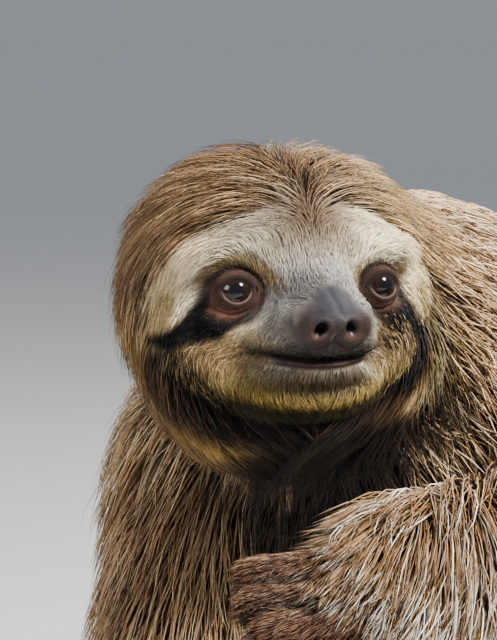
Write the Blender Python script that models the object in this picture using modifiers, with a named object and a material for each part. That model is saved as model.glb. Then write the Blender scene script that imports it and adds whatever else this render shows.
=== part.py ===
"""A three-toed sloth, life size, seated on the floor and holding its left forearm across its chest.

Metres, +Z up, the floor at Z = 0, the origin in the middle of the flat it sits on. The body faces
-Y, so the animal's left side is +X. The solids reach to the tips of the coat. The body is modelled
whole, from beads and ellipsoids round a skeleton of named joints, and is parted with thin cuts into
the pieces that a person would name.
"""

import math

import bmesh
import bpy
from mathutils import Matrix, Vector

# ---------------------------------------------------------------- sizes
CUT_GAP = 0.0003  # between two pieces that meet
BODY_VOXEL = 0.0030
BODY_SMOOTHING = 8
BODY_TRIANGLES = 2850
HEAD_VOXEL = 0.0013
HEAD_SMOOTHING = 10
HEAD_TRIANGLES = 1700

HEAD_CENTRE = Vector((0.0, -0.157, 0.350))
HEAD_TURN = math.radians(40)  # to its own left
HEAD_NOD = math.radians(5)  # nose up

HEAD_CUT = 0.05  # where the head meets the neck, from the nape to the root of the neck
HEAD_CUT_RADIUS = 0.078
HEAD_REACH = 0.125  # from that plane to past the nose
NECK_CUT = 0.80  # where the neck meets the trunk, on the same way
NECK_CUT_RADIUS = 0.150

SHOULDER_CUT = {"left": 0.42, "right": 0.62}  # share of the upper arm left on the trunk

EYE_RADIUS = 0.0060
EYE_SPREAD = 0.0236  # from the middle of the face
EYE_FORWARD = 0.0170  # the eye's centre, in front of the middle of the head
EYE_HEIGHT = 0.0010

CLAW_THICK = 0.0040  # half the depth of a claw at its root
CLAW_SLIM = 0.70  # a claw's width as a share of its depth
CLAW_TIP = 0.16  # the tip's radius as a share of the root's
CLAW_ROOT = 0.0043  # how far behind the middle of the toe's tip a claw starts
CLAW_TAPER = 1.6  # above 1, a claw stays thick for longer before it thins
HAND_CLAW_LENGTH = 0.064
FOOT_CLAW_LENGTH = 0.048
CLAW_POINTS = 9
CLAW_SIDES = 1  # bevel resolution
TOES = 3
TOE_RADIUS = 0.0078

# ---------------------------------------------------------------- skeleton
JOINTS = {
    "pelvis": Vector((0.0000, 0.0000, 0.0920)),
    "loin": Vector((0.0000, 0.0240, 0.1500)),
    "ribs": Vector((0.0000, 0.0180, 0.2150)),
    "withers": Vector((0.0040, -0.0200, 0.2760)),
    "neck_base": Vector((0.0040, -0.0660, 0.3120)),
    "nape": Vector((0.0020, -0.1120, 0.3340)),
    "tail_root": Vector((0.0000, 0.0780, 0.0580)),
    "tail_tip": Vector((0.0000, 0.1300, 0.0260)),
    "shoulder_left": Vector((0.0620, -0.0620, 0.2980)),
    "elbow_left": Vector((0.1650, -0.1420, 0.3040)),
    "wrist_left": Vector((0.0645, -0.2350, 0.2800)),
    "knuckles_left": Vector((0.0513, -0.2512, 0.2746)),
    "shoulder_right": Vector((-0.0530, -0.0600, 0.2760)),
    "elbow_right": Vector((-0.0580, -0.1400, 0.1580)),
    "wrist_right": Vector((-0.0620, -0.2170, 0.0340)),
    "knuckles_right": Vector((-0.0620, -0.2500, 0.0115)),
    "hip_left": Vector((0.0520, -0.0260, 0.0840)),
    "knee_left": Vector((0.1220, -0.1080, 0.0840)),
    "ankle_left": Vector((0.1000, -0.2020, 0.0215)),
    "toes_left": Vector((0.0960, -0.2360, 0.0440)),
    "hip_right": Vector((-0.0520, -0.0260, 0.0840)),
    "knee_right": Vector((-0.1340, -0.0960, 0.0800)),
    "ankle_right": Vector((-0.1540, -0.1900, 0.0215)),
    "toes_right": Vector((-0.1600, -0.2240, 0.0440)),
}

# Radius of the coat at each joint.
GIRTH = {
    "pelvis": 0.096,
    "loin": 0.104,
    "ribs": 0.102,
    "withers": 0.092,
    "neck_base": 0.072,
    "nape": 0.056,
    "tail_root": 0.026,
    "tail_tip": 0.014,
    "shoulder": 0.049,
    "elbow": 0.033,
    "wrist": 0.021,
    "knuckles": 0.015,
    "hip": 0.058,
    "knee": 0.037,
    "ankle": 0.026,
    "toes": 0.016,
}

# Each chain runs through these joints; "side" is put after the names of paired joints.
SPINE = ("pelvis", "loin", "ribs", "withers", "neck_base", "nape")
TAIL = ("pelvis", "tail_root", "tail_tip")
ARM = ("withers", "shoulder", "elbow", "wrist", "knuckles")
LEG = ("pelvis", "hip", "knee", "ankle", "toes")
PAIRED = {"shoulder", "elbow", "wrist", "knuckles", "hip", "knee", "ankle", "toes"}

# ---------------------------------------------------------------- helpers


def joint(name, side):
    return JOINTS[f"{name}_{side}"] if name in PAIRED else JOINTS[name]


def clear_scene():
    for old in list(bpy.data.objects):
        bpy.data.objects.remove(old, do_unlink=True)


def collection(name):
    made = bpy.data.collections.new(name)
    bpy.context.scene.collection.children.link(made)
    return made


def material(name, colour, roughness):
    made = bpy.data.materials.new(name)
    made.use_nodes = True
    shader = made.node_tree.nodes["Principled BSDF"]
    shader.inputs["Base Color"].default_value = (*colour, 1.0)
    shader.inputs["Roughness"].default_value = roughness
    return made


def add_object(name, mesh, group, finish):
    made = bpy.data.objects.new(name, mesh)
    group.objects.link(made)
    made.data.materials.clear()
    made.data.materials.append(finish)
    return made


def mesh_from(bm, name):
    mesh = bpy.data.meshes.new(name)
    bm.to_mesh(mesh)
    bm.free()
    return mesh


def ellipsoid(bm, centre, radii, frame=Matrix.Identity(4), detail=3):
    """Adds an ellipsoid whose centre and axes are given in the frame."""
    place = frame @ Matrix.Translation(centre) @ Matrix.Diagonal((*radii, 1.0))
    bmesh.ops.create_icosphere(bm, subdivisions=detail, radius=1.0, matrix=place)


BEAD_SPACING = 0.22  # between two beads, as a share of the smaller one's radius


def bead_chain(bm, stations):
    """Adds a round limb through stations of (point, radius), as closely spaced beads."""
    for (start, start_radius), (end, end_radius) in zip(stations, stations[1:]):
        spacing = BEAD_SPACING * min(start_radius, end_radius)
        count = max(2, math.ceil((end - start).length / spacing))
        for step in range(count + 1):
            share = step / count
            radius = start_radius + (end_radius - start_radius) * share
            ellipsoid(bm, start.lerp(end, share), (radius,) * 3, detail=2)


def apply_modifiers(obj):
    """Replaces the object's mesh with its evaluated one."""
    bpy.context.view_layer.update()
    evaluated = obj.evaluated_get(bpy.context.evaluated_depsgraph_get())
    mesh = bpy.data.meshes.new_from_object(evaluated)
    obj.modifiers.clear()
    obj.data = mesh


def subtract(obj, cutter):
    step = obj.modifiers.new("cut", "BOOLEAN")
    step.operation = "DIFFERENCE"
    step.solver = "EXACT"
    step.object = cutter


def as_cutter(name, bm, cutters):
    made = bpy.data.objects.new(name, mesh_from(bm, name))
    cutters.objects.link(made)
    made.hide_render = True
    made.display_type = "WIRE"
    return made


# ---------------------------------------------------------------- head

HEAD = (
    Matrix.Translation(HEAD_CENTRE)
    @ Matrix.Rotation(HEAD_TURN, 4, "Z")
    @ Matrix.Rotation(-HEAD_NOD, 4, "X")
)

# (centre, radii) in the head's own frame, face to -Y: the coat of a round, flat-faced head.
HEAD_FORMS = [
    ((0.0000, 0.0120, 0.0010), (0.0525, 0.0375, 0.0480)),  # crown and hood
    ((0.0000, 0.0120, -0.0030), (0.0485, 0.0400, 0.0420)),  # face
    ((0.0000, 0.0200, -0.0240), (0.0440, 0.0370, 0.0320)),  # hood under the chin
    ((0.0000, -0.0170, -0.0125), (0.0235, 0.0225, 0.0185)),  # root of the muzzle
    ((0.0000, -0.0200, 0.0000), (0.0125, 0.0120, 0.0110)),  # bridge of the nose
    ((0.0000, -0.0335, -0.0080), (0.0145, 0.0125, 0.0120)),  # nose
    ((0.0000, -0.0200, -0.0205), (0.0190, 0.0185, 0.0115)),  # lips
    ((0.0000, -0.0105, -0.0310), (0.0275, 0.0205, 0.0160)),  # chin
    ((0.0000, -0.0050, 0.0170), (0.0300, 0.0200, 0.0150)),  # forehead
]
CHEEK = ((0.0250, 0.0010, -0.0195), (0.0220, 0.0205, 0.0210))
NOSTRIL = Vector((0.0048, -0.0445, -0.0115))
NOSTRIL_RADIUS = 0.0019
NOSTRIL_DEPTH = 0.0040
ORBIT_RADII = (0.0088, 0.0050, 0.0072)
ORBIT_FORWARD = 0.0015  # the hollow's centre, in front of the eye
MOUTH_HEIGHT = -0.0208
MOUTH_GAP = 0.0012
MOUTH_HALF_WIDTH = 0.0210
MOUTH_DEPTH = 0.0050
MOUTH_FRONT = 0.0400
MOUTH_REACH = 1.35  # the wedge starts this much further out than the lips
MOUTH_BOW = 0.42  # how far the lips' front curves back towards the corners
MOUTH_RISE = 0.0034  # how much higher its corners are than its middle
MOUTH_POINTS = 13


def eye_centre(side):
    return Vector((side * EYE_SPREAD, -EYE_FORWARD, EYE_HEIGHT))


def head_forms(bm):
    for centre, radii in HEAD_FORMS:
        ellipsoid(bm, Vector(centre), radii, HEAD)
    for side in (-1, 1):
        centre, radii = CHEEK
        ellipsoid(bm, Vector((side * centre[0], centre[1], centre[2])), radii, HEAD)


def eye_socket_cutter(cutters):
    """Both eyes' own shape, larger by the gap."""
    bm = bmesh.new()
    for side in (-1, 1):
        socket = EYE_RADIUS + CUT_GAP
        ellipsoid(bm, eye_centre(side), (socket,) * 3, HEAD, detail=3)
    return as_cutter("eye_socket_cutter", bm, cutters)


def orbit_cutter(side, cutters):
    """The shallow hollow in which an eye lies."""
    bm = bmesh.new()
    front = eye_centre(side) + Vector((0.0, -EYE_RADIUS - ORBIT_FORWARD, 0.0))
    ellipsoid(bm, front, ORBIT_RADII, HEAD, detail=3)
    return as_cutter("orbit_cutter", bm, cutters)


def nostril_cutter(side, cutters):
    bm = bmesh.new()
    centre = Vector((side * NOSTRIL.x, NOSTRIL.y, NOSTRIL.z))
    ellipsoid(bm, centre, (NOSTRIL_RADIUS, NOSTRIL_DEPTH, NOSTRIL_RADIUS), HEAD, detail=2)
    return as_cutter("nostril_cutter", bm, cutters)


def mouth_cutter(cutters):
    """A thin, smiling wedge that follows the front of the lips."""
    bm = bmesh.new()
    outer, inner = [], []
    for step in range(MOUTH_POINTS):
        across = -1 + 2 * step / (MOUTH_POINTS - 1)
        x = across * MOUTH_HALF_WIDTH
        z = MOUTH_HEIGHT + MOUTH_RISE * across**2
        bow = 1 - MOUTH_BOW * across**2
        for row, forward in ((outer, MOUTH_REACH), (inner, 1 - MOUTH_DEPTH / MOUTH_FRONT)):
            row.append(bm.verts.new(HEAD @ Vector((x, -MOUTH_FRONT * bow * forward, z))))
    for k in range(MOUTH_POINTS - 1):
        bm.faces.new((outer[k], outer[k + 1], inner[k + 1], inner[k]))
    made = as_cutter("mouth_cutter", bm, cutters)
    wedge = made.modifiers.new("thickness", "SOLIDIFY")
    wedge.thickness = MOUTH_GAP
    wedge.offset = 0.0
    apply_modifiers(made)
    fix = bmesh.new()
    fix.from_mesh(made.data)
    bmesh.ops.recalc_face_normals(fix, faces=fix.faces)
    fix.to_mesh(made.data)
    fix.free()
    return made


# ---------------------------------------------------------------- hands, feet and claws

# For each paw: its last two joints, the way its toes point, the way its palm faces, and claw size.
PAWS = {
    "hand_left": ("wrist_left", "knuckles_left", (-0.82, -0.58, -0.01), (-0.33, 0.49, -0.81)),
    "hand_right": ("wrist_right", "knuckles_right", (0.02, -0.98, 0.16), (0.0, -0.10, -1.0)),
    "foot_left": ("ankle_left", "toes_left", (-0.10, -0.72, 0.68), (0.0, -0.70, -0.72)),
    "foot_right": ("ankle_right", "toes_right", (-0.18, -0.72, 0.66), (0.0, -0.70, -0.72)),
}
CLAW_SWEEP = {"hand_left": 105, "hand_right": 24, "foot_left": 82, "foot_right": 82}  # degrees
CLAW_START = {"hand_left": 70, "hand_right": 0, "foot_left": 0, "foot_right": 0}  # from the toe to the palm
TOE_LENGTH = {"hand": 0.026, "foot": 0.022}
TOE_SHARE = (0.90, 1.0, 0.92)  # each toe's length, as a share of the middle one's
TOE_FAN = 0.0105  # between the middles of two toes at their tips
TOE_FAN_ROOT = 0.85  # the fan at the knuckles, as a share of that
TOE_SWELL = 1.25  # how much thicker a toe is at the knuckle than at its tip


def paw_axes(paw):
    """The paw's unit vectors: along the toes, across them, and out of the palm."""
    _, _, along, palm = PAWS[paw]
    along = Vector(along).normalized()
    palm = Vector(palm)
    palm = (palm - along * palm.dot(along)).normalized()
    return along, along.cross(palm), palm


def toe_points(paw, index):
    """Root and tip of one toe, 0 to 2."""
    _, knuckles, _, _ = PAWS[paw]
    along, across, _ = paw_axes(paw)
    offset = across * (index - 1) * TOE_FAN
    root = JOINTS[knuckles] + offset * TOE_FAN_ROOT
    length = TOE_LENGTH[paw.split("_")[0]] * TOE_SHARE[index]
    return root, root + along * length + offset * (1 - TOE_FAN_ROOT)


def paw_forms(bm):
    for paw in PAWS:
        for index in range(TOES):
            root, tip = toe_points(paw, index)
            bead_chain(bm, [(root, TOE_RADIUS * TOE_SWELL), (tip, TOE_RADIUS)])


def claw_line(paw, index):
    """Points of a claw's middle line with their share of its length: an arc that bends to the palm."""
    along, _, palm = paw_axes(paw)
    _, tip = toe_points(paw, index)
    hand = paw.startswith("hand")
    length = HAND_CLAW_LENGTH if hand else FOOT_CLAW_LENGTH
    sweep = math.radians(CLAW_SWEEP[paw])
    start = math.radians(CLAW_START[paw])
    radius = length / sweep
    root = tip - along * CLAW_ROOT
    points = []
    for step in range(CLAW_POINTS):
        share = step / (CLAW_POINTS - 1)
        angle = start + sweep * share
        bend = along * (math.sin(angle) - math.sin(start)) + palm * (math.cos(start) - math.cos(angle))
        points.append((root + bend * radius, share))
    return points


def claw(name, paw, index, group, finish):
    """A tapered, bent horn, slimmer across than it is deep."""
    spline_data = bpy.data.curves.new(name, "CURVE")
    spline_data.dimensions = "3D"
    spline_data.bevel_depth = CLAW_THICK
    spline_data.bevel_resolution = CLAW_SIDES
    spline_data.use_fill_caps = True
    spline = spline_data.splines.new("POLY")
    line = claw_line(paw, index)
    spline.points.add(len(line) - 1)
    for point, (place, share) in zip(spline.points, line):
        point.co = (*place, 1.0)
        point.radius = CLAW_TIP + (1 - CLAW_TIP) * (1 - share**CLAW_TAPER)
    tube = bpy.data.objects.new(name + "_curve", spline_data)
    group.objects.link(tube)
    bpy.context.view_layer.update()
    evaluated = tube.evaluated_get(bpy.context.evaluated_depsgraph_get())
    mesh = bpy.data.meshes.new_from_object(evaluated)
    bpy.data.objects.remove(tube)
    bm = bmesh.new()
    bm.from_mesh(mesh)
    bmesh.ops.remove_doubles(bm, verts=bm.verts, dist=0.00005)
    _, across, _ = paw_axes(paw)
    middle = line[0][0]
    for vertex in bm.verts:
        side = (vertex.co - middle).dot(across)
        vertex.co -= across * side * (1 - CLAW_SLIM)
    bmesh.ops.recalc_face_normals(bm, faces=bm.faces)
    bm.to_mesh(mesh)
    bm.free()
    return add_object(name, mesh, group, finish)


def socket_cutter(source, cutters):
    """A claw's own shape, larger by the gap, that cuts its seat in the toe."""
    made = bpy.data.objects.new(source.name + "_cutter", source.data.copy())
    cutters.objects.link(made)
    made.hide_render = True
    made.display_type = "WIRE"
    swell = made.modifiers.new("gap", "DISPLACE")
    swell.mid_level = 0.0
    swell.strength = CUT_GAP
    apply_modifiers(made)
    return made


# ---------------------------------------------------------------- body


def body_forms(bm):
    for names, side in (
        (SPINE, ""),
        (TAIL, ""),
        (ARM, "left"),
        (ARM, "right"),
        (LEG, "left"),
        (LEG, "right"),
    ):
        bead_chain(bm, [(joint(name, side), GIRTH[name]) for name in names])


def one_surface(name, bm, voxel, smoothing, triangles, group, finish):
    """Melts overlapping forms into one closed surface of about so many triangles."""
    made = add_object(name, mesh_from(bm, name), group, finish)
    skin = made.modifiers.new("one surface", "REMESH")
    skin.mode = "VOXEL"
    skin.voxel_size = voxel
    soft = made.modifiers.new("soft folds", "SMOOTH")
    soft.factor = 0.5
    soft.iterations = smoothing
    apply_modifiers(made)
    fewer = made.modifiers.new("fewer faces", "DECIMATE")
    made.data.calc_loop_triangles()
    fewer.ratio = triangles / len(made.data.loop_triangles)
    apply_modifiers(made)
    return made


def whole_body(group, finish):
    bm = bmesh.new()
    body_forms(bm)
    head_forms(bm)
    paw_forms(bm)
    return one_surface(
        "body", bm, BODY_VOXEL, BODY_SMOOTHING, BODY_TRIANGLES, group, finish
    )


def fine_head(group, finish):
    """The head again, on a finer surface, with enough of the neck to be cut through it."""
    bm = bmesh.new()
    head_forms(bm)
    bead_chain(bm, [(JOINTS[name], GIRTH[name]) for name in ("nape", "neck_base")])
    return one_surface(
        "head", bm, HEAD_VOXEL, HEAD_SMOOTHING, HEAD_TRIANGLES, group, finish
    )


def neck_cylinder(name, side, cutters):
    """Everything near the neck on one side of the plane where the head meets it."""
    centre, normal = between("nape", "neck_base", HEAD_CUT)
    turn = normal.to_track_quat("Z", "Y").to_matrix().to_4x4()
    depth = HEAD_REACH
    start = -CUT_GAP / 2 if side > 0 else CUT_GAP / 2 - depth
    bm = bmesh.new()
    bmesh.ops.create_cone(
        bm,
        cap_ends=True,
        segments=48,
        radius1=HEAD_CUT_RADIUS,
        radius2=HEAD_CUT_RADIUS,
        depth=depth,
        matrix=Matrix.Translation(centre) @ turn @ Matrix.Translation((0, 0, start + depth / 2)),
    )
    return as_cutter(name, bm, cutters)


def floor_cutter(cutters):
    """Everything below the floor, so that what touches it ends in flats at Z = 0."""
    bm = bmesh.new()
    bmesh.ops.create_cube(bm, size=1.0, matrix=Matrix.Translation((0, 0, -0.5)))
    return as_cutter("floor_cutter", bm, cutters)


def between(first, second, share):
    return JOINTS[first].lerp(JOINTS[second], share), (JOINTS[second] - JOINTS[first]).normalized()


def across_bend(before, at, after):
    """The plane that halves the bend of a limb at a joint."""
    middle_way = (JOINTS[at] - JOINTS[before]).normalized() + (JOINTS[after] - JOINTS[at]).normalized()
    return JOINTS[at], middle_way.normalized()


def limb_cuts():
    """(centre, normal, radius) of the thin disc that parts each limb at each of its joints."""
    cuts = [(*between("tail_root", "tail_tip", 0.42), 0.036)]
    for side in ("left", "right"):
        hand = f"wrist_{side}", f"knuckles_{side}"
        foot = f"ankle_{side}", f"toes_{side}"
        cuts += [
            (*between(f"shoulder_{side}", f"elbow_{side}", SHOULDER_CUT[side]), 0.060),
            (*across_bend(f"shoulder_{side}", f"elbow_{side}", f"wrist_{side}"), 0.066),
            (*between(*hand, 0.05), 0.032),
            (*between(f"hip_{side}", f"knee_{side}", 0.50), 0.062),
            (*across_bend(f"hip_{side}", f"knee_{side}", f"ankle_{side}"), 0.066),
            (*across_bend(f"knee_{side}", *foot), 0.042),
        ]
    return cuts


def neck_cuts():
    """The disc at the root of the neck, wide enough to pass through the shoulders."""
    return [(*between("nape", "neck_base", NECK_CUT), NECK_CUT_RADIUS)]


def cut_with_discs(obj, cuts, cutters):
    """One Boolean a disc, because discs that cross each other make no closed cutter."""
    for centre, normal, radius in cuts:
        turn = normal.to_track_quat("Z", "Y").to_matrix().to_4x4()
        bm = bmesh.new()
        bmesh.ops.create_cone(
            bm,
            cap_ends=True,
            segments=32,
            radius1=radius,
            radius2=radius,
            depth=CUT_GAP,
            matrix=Matrix.Translation(centre) @ turn,
        )
        subtract(obj, as_cutter("disc_cutter", bm, cutters))


def label_points():
    """A point near the middle of each piece of the body."""
    labels = {
        "neck": (JOINTS["nape"] + JOINTS["neck_base"]) / 2,
        "trunk": JOINTS["ribs"],
        "tail": JOINTS["tail_tip"],
    }
    bones = {
        "upper_arm": ("shoulder", "elbow", 0.6),
        "forearm": ("elbow", "wrist", 0.5),
        "hand": ("wrist", "knuckles", 1.0),
        "thigh": ("hip", "knee", 0.9),
        "shin": ("knee", "ankle", 0.5),
        "foot": ("ankle", "toes", 1.0),
    }
    for side in ("left", "right"):
        for name, (start, end, share) in bones.items():
            labels[f"{name}_{side}"] = joint(start, side).lerp(joint(end, side), share)
    return labels


def loose_pieces(obj):
    """Splits an object into its loose parts."""
    bpy.ops.object.select_all(action="DESELECT")
    bpy.context.view_layer.objects.active = obj
    obj.select_set(True)
    bpy.ops.mesh.separate(type="LOOSE")
    return list(bpy.context.selected_objects)


def middle(piece):
    return sum((Vector(corner) for corner in piece.bound_box), Vector()) / 8


def name_pieces(pieces):
    """Names each piece for the label that is nearest to its middle."""
    named = {}
    for name, point in label_points().items():
        nearest = min(pieces, key=lambda piece: (middle(piece) - point).length)
        pieces.remove(nearest)
        nearest.name = name
        nearest.data.name = name
        named[name] = nearest
    return named


def part_body(body, cutters):
    """Cuts the whole body at its joints: the limbs first, then the neck through what is left."""
    subtract(body, floor_cutter(cutters))
    subtract(body, neck_cylinder("head_room", -1, cutters))
    cut_with_discs(body, limb_cuts(), cutters)
    apply_modifiers(body)
    pieces = loose_pieces(body)
    torso = max(pieces, key=lambda piece: len(piece.data.polygons))
    pieces.remove(torso)
    cut_with_discs(torso, neck_cuts(), cutters)
    apply_modifiers(torso)
    return name_pieces(pieces + loose_pieces(torso))


def build():
    clear_scene()
    sloth = collection("sloth")
    cutters = collection("cutters")
    coat = material("coat_brown", (0.30, 0.19, 0.11), 0.85)
    face = material("coat_face", (0.62, 0.53, 0.36), 0.80)
    horn = material("claw_horn", (0.34, 0.27, 0.19), 0.45)
    eye_dark = material("eye_dark", (0.035, 0.020, 0.015), 0.08)

    pieces = part_body(whole_body(sloth, coat), cutters)

    head = fine_head(sloth, face)
    subtract(head, neck_cylinder("neck_room", 1, cutters))
    for side in (-1, 1):
        subtract(head, orbit_cutter(side, cutters))
        subtract(head, nostril_cutter(side, cutters))
    subtract(head, mouth_cutter(cutters))
    subtract(head, eye_socket_cutter(cutters))
    apply_modifiers(head)

    for paw in PAWS:
        for index in range(TOES):
            horn_piece = claw(f"claw_{paw}_{index + 1}", paw, index, sloth, horn)
            subtract(pieces[paw], socket_cutter(horn_piece, cutters))
        apply_modifiers(pieces[paw])

    for side, name in ((1, "eye_left"), (-1, "eye_right")):
        bm = bmesh.new()
        ellipsoid(bm, eye_centre(side), (EYE_RADIUS,) * 3, HEAD, detail=3)
        add_object(name, mesh_from(bm, name), sloth, eye_dark)

    for piece in sloth.objects:
        piece.data.shade_smooth()


build()
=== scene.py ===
"""The looks of a life-size three-toed sloth: skin, a coat of solid hairs, eyes, claws, floor and light.

Metres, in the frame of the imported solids: +Z up, the floor at Z = 0, the body facing -Y, so that
the animal's left side is +X. Forms of the head are in millimetres, in the head's own frame: +X to
the animal's left, -Y out of the face, +Z up.
"""

import math
from collections import namedtuple

import bmesh
import bpy
import numpy as np
from mathutils import Matrix, Vector
from mathutils.kdtree import KDTree


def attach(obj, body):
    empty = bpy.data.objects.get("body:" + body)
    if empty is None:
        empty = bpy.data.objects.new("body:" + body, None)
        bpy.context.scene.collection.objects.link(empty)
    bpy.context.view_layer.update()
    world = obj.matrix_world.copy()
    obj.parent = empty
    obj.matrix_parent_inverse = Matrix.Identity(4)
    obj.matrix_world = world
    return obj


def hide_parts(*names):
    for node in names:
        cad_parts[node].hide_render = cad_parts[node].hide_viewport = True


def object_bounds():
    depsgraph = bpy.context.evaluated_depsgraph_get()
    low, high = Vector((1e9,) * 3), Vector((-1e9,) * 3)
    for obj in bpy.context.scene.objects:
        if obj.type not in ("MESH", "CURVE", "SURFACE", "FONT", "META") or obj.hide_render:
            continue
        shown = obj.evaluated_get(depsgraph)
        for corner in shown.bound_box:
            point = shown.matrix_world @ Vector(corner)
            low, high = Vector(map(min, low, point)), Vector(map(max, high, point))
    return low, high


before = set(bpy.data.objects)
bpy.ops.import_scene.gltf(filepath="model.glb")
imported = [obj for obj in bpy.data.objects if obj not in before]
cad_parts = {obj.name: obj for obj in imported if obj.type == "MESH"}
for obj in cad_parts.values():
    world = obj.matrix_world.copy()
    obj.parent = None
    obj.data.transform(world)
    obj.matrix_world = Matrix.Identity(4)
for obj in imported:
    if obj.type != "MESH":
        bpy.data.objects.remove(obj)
SOLID_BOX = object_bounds()
MM = 0.001
SIDES = ("left", "right")
FLESH = (
    ["head", "neck", "trunk", "tail"]
    + [f"{part}_{side}" for side in SIDES for part in ("upper_arm", "forearm", "hand")]
    + [f"{part}_{side}" for side in SIDES for part in ("thigh", "shin", "foot")]
)

# ---------------------------------------------------------------- skeleton

HEAD_CENTRE = Vector((0.0, -0.157, 0.350))
HEAD_TURN = math.radians(40)
HEAD_NOD = math.radians(5)
HEAD = (
    Matrix.Translation(HEAD_CENTRE)
    @ Matrix.Rotation(HEAD_TURN, 4, "Z")
    @ Matrix.Rotation(-HEAD_NOD, 4, "X")
)
HEAD_TURNS = np.array(HEAD.to_3x3())
HEAD_AT = np.array(HEAD_CENTRE)

JOINTS = {
    "pelvis": (0.0, 0.0, 0.092),
    "loin": (0.0, 0.024, 0.15),
    "ribs": (0.0, 0.018, 0.215),
    "withers": (0.004, -0.02, 0.276),
    "neck_base": (0.004, -0.066, 0.312),
    "nape": (0.002, -0.112, 0.334),
    "tail_root": (0.0, 0.078, 0.058),
    "tail_tip": (0.0, 0.13, 0.026),
    "shoulder_left": (0.062, -0.062, 0.298),
    "elbow_left": (0.165, -0.142, 0.304),
    "wrist_left": (0.0645, -0.235, 0.28),
    "knuckles_left": (0.0513, -0.2512, 0.2746),
    "shoulder_right": (-0.053, -0.06, 0.276),
    "elbow_right": (-0.058, -0.14, 0.158),
    "wrist_right": (-0.062, -0.217, 0.034),
    "knuckles_right": (-0.062, -0.25, 0.0115),
    "hip_left": (0.052, -0.026, 0.084),
    "knee_left": (0.122, -0.108, 0.084),
    "ankle_left": (0.1, -0.202, 0.0215),
    "toes_left": (0.096, -0.236, 0.044),
    "hip_right": (-0.052, -0.026, 0.084),
    "knee_right": (-0.134, -0.096, 0.08),
    "ankle_right": (-0.154, -0.19, 0.0215),
    "toes_right": (-0.16, -0.224, 0.044),
}
JOINTS = {name: Vector(place) for name, place in JOINTS.items()}

# Radius out to the tips of the coat, and depth of the coat, at each joint.
GIRTH = {
    "pelvis": (0.096, 0.018),
    "loin": (0.104, 0.018),
    "ribs": (0.102, 0.018),
    "withers": (0.092, 0.018),
    "neck_base": (0.072, 0.016),
    "nape": (0.056, 0.012),
    "tail_root": (0.026, 0.012),
    "tail_tip": (0.014, 0.008),
    "shoulder": (0.049, 0.016),
    "elbow": (0.033, 0.013),
    "wrist": (0.021, 0.007),
    "knuckles": (0.015, 0.004),
    "hip": (0.058, 0.016),
    "knee": (0.037, 0.013),
    "ankle": (0.026, 0.009),
    "toes": (0.016, 0.004),
}

# Zones of the coat along each chain of joints, in the order of the bones.
CHAINS = [
    (("pelvis", "loin", "ribs", "withers"), ("trunk",) * 3),
    (("withers", "neck_base", "nape"), ("neck",) * 2),
    (("pelvis", "tail_root", "tail_tip"), ("trunk", "tail")),
]
ARM = (("withers", "shoulder", "elbow", "wrist", "knuckles"), ("shoulder", "upper_arm", "forearm", "hand"))
LEG = (("pelvis", "hip", "knee", "ankle", "toes"), ("hip", "thigh", "shin", "foot"))
PAIRED = {"shoulder", "elbow", "wrist", "knuckles", "hip", "knee", "ankle", "toes"}

# For each paw: its knuckle joint, the way its toes point, and the way its palm faces.
PAWS = {
    "hand_left": ("knuckles_left", (-0.82, -0.58, -0.01), (-0.33, 0.49, -0.81)),
    "hand_right": ("knuckles_right", (0.02, -0.98, 0.16), (0.0, -0.10, -1.0)),
    "foot_left": ("toes_left", (-0.10, -0.72, 0.68), (0.0, -0.70, -0.72)),
    "foot_right": ("toes_right", (-0.18, -0.72, 0.66), (0.0, -0.70, -0.72)),
}
TOES = 3
TOE_RADIUS = 0.0078
TOE_COAT = 0.0027
TOE_LENGTH = {"hand": 0.026, "foot": 0.022}
TOE_SHARE = (0.90, 1.0, 0.92)  # of the middle toe's length
TOE_FAN = 0.0105
TOE_FAN_ROOT = 0.85
TOE_THICKEST = 1.08
CLAW_LENGTH = {"hand": 0.064, "foot": 0.048}
CLAW_SWEEP = {"hand_left": 105, "hand_right": 24, "foot_left": 82, "foot_right": 82}
CLAW_START = {"hand_left": 70, "hand_right": 0, "foot_left": 0, "foot_right": 0}
CLAW_ROOT = 0.0043
CLAW_THICK = 0.0040
CLAW_SLIM = 0.70
CLAW_TIP = 0.10
CLAW_TAPER = 1.6

Bone = namedtuple("Bone", "zone side start end start_radius end_radius")


def joint(name, side):
    return JOINTS[f"{name}_{side}"] if name in PAIRED else JOINTS[name]


def skin_radius(name):
    girth, coat = GIRTH[name]
    return girth - coat


def paw_axes(paw):
    """The paw's unit vectors: along the toes, across them, and out of the palm."""
    _, along, palm = PAWS[paw]
    along = Vector(along).normalized()
    palm = Vector(palm)
    palm = (palm - along * palm.dot(along)).normalized()
    return along, along.cross(palm), palm


def toe_points(paw, index):
    knuckles, _, _ = PAWS[paw]
    along, across, _ = paw_axes(paw)
    offset = across * (index - 1) * TOE_FAN
    root = JOINTS[knuckles] + offset * TOE_FAN_ROOT
    length = TOE_LENGTH[paw.split("_")[0]] * TOE_SHARE[index]
    return root, root + along * length + offset * (1 - TOE_FAN_ROOT)


def all_bones():
    chains = [(*chain, "") for chain in CHAINS]
    chains += [(*chain, side) for chain in (ARM, LEG) for side in SIDES]
    found = []
    for names, zones, side in chains:
        for first, second, zone in zip(names, names[1:], zones):
            ends = joint(first, side), joint(second, side)
            found.append(Bone(zone, side, *ends, skin_radius(first), skin_radius(second)))
    for paw in PAWS:
        kind, side = paw.split("_")
        for index in range(TOES):
            root, tip = toe_points(paw, index)
            thick = TOE_RADIUS - TOE_COAT
            found.append(Bone(f"{kind}_toe", side, root, tip, thick * TOE_THICKEST, thick))
    return found


BONES = all_bones()
IS_TOE = np.array(["toe" in bone.zone for bone in BONES])
BODY_BLEND = 0.0030  # how softly neighbouring limbs melt together
TOE_BLEND = 0.0007
TOES_TO_LIMBS = 0.006
HEAD_TO_BODY = 0.008

# ---------------------------------------------------------------- distances


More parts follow.
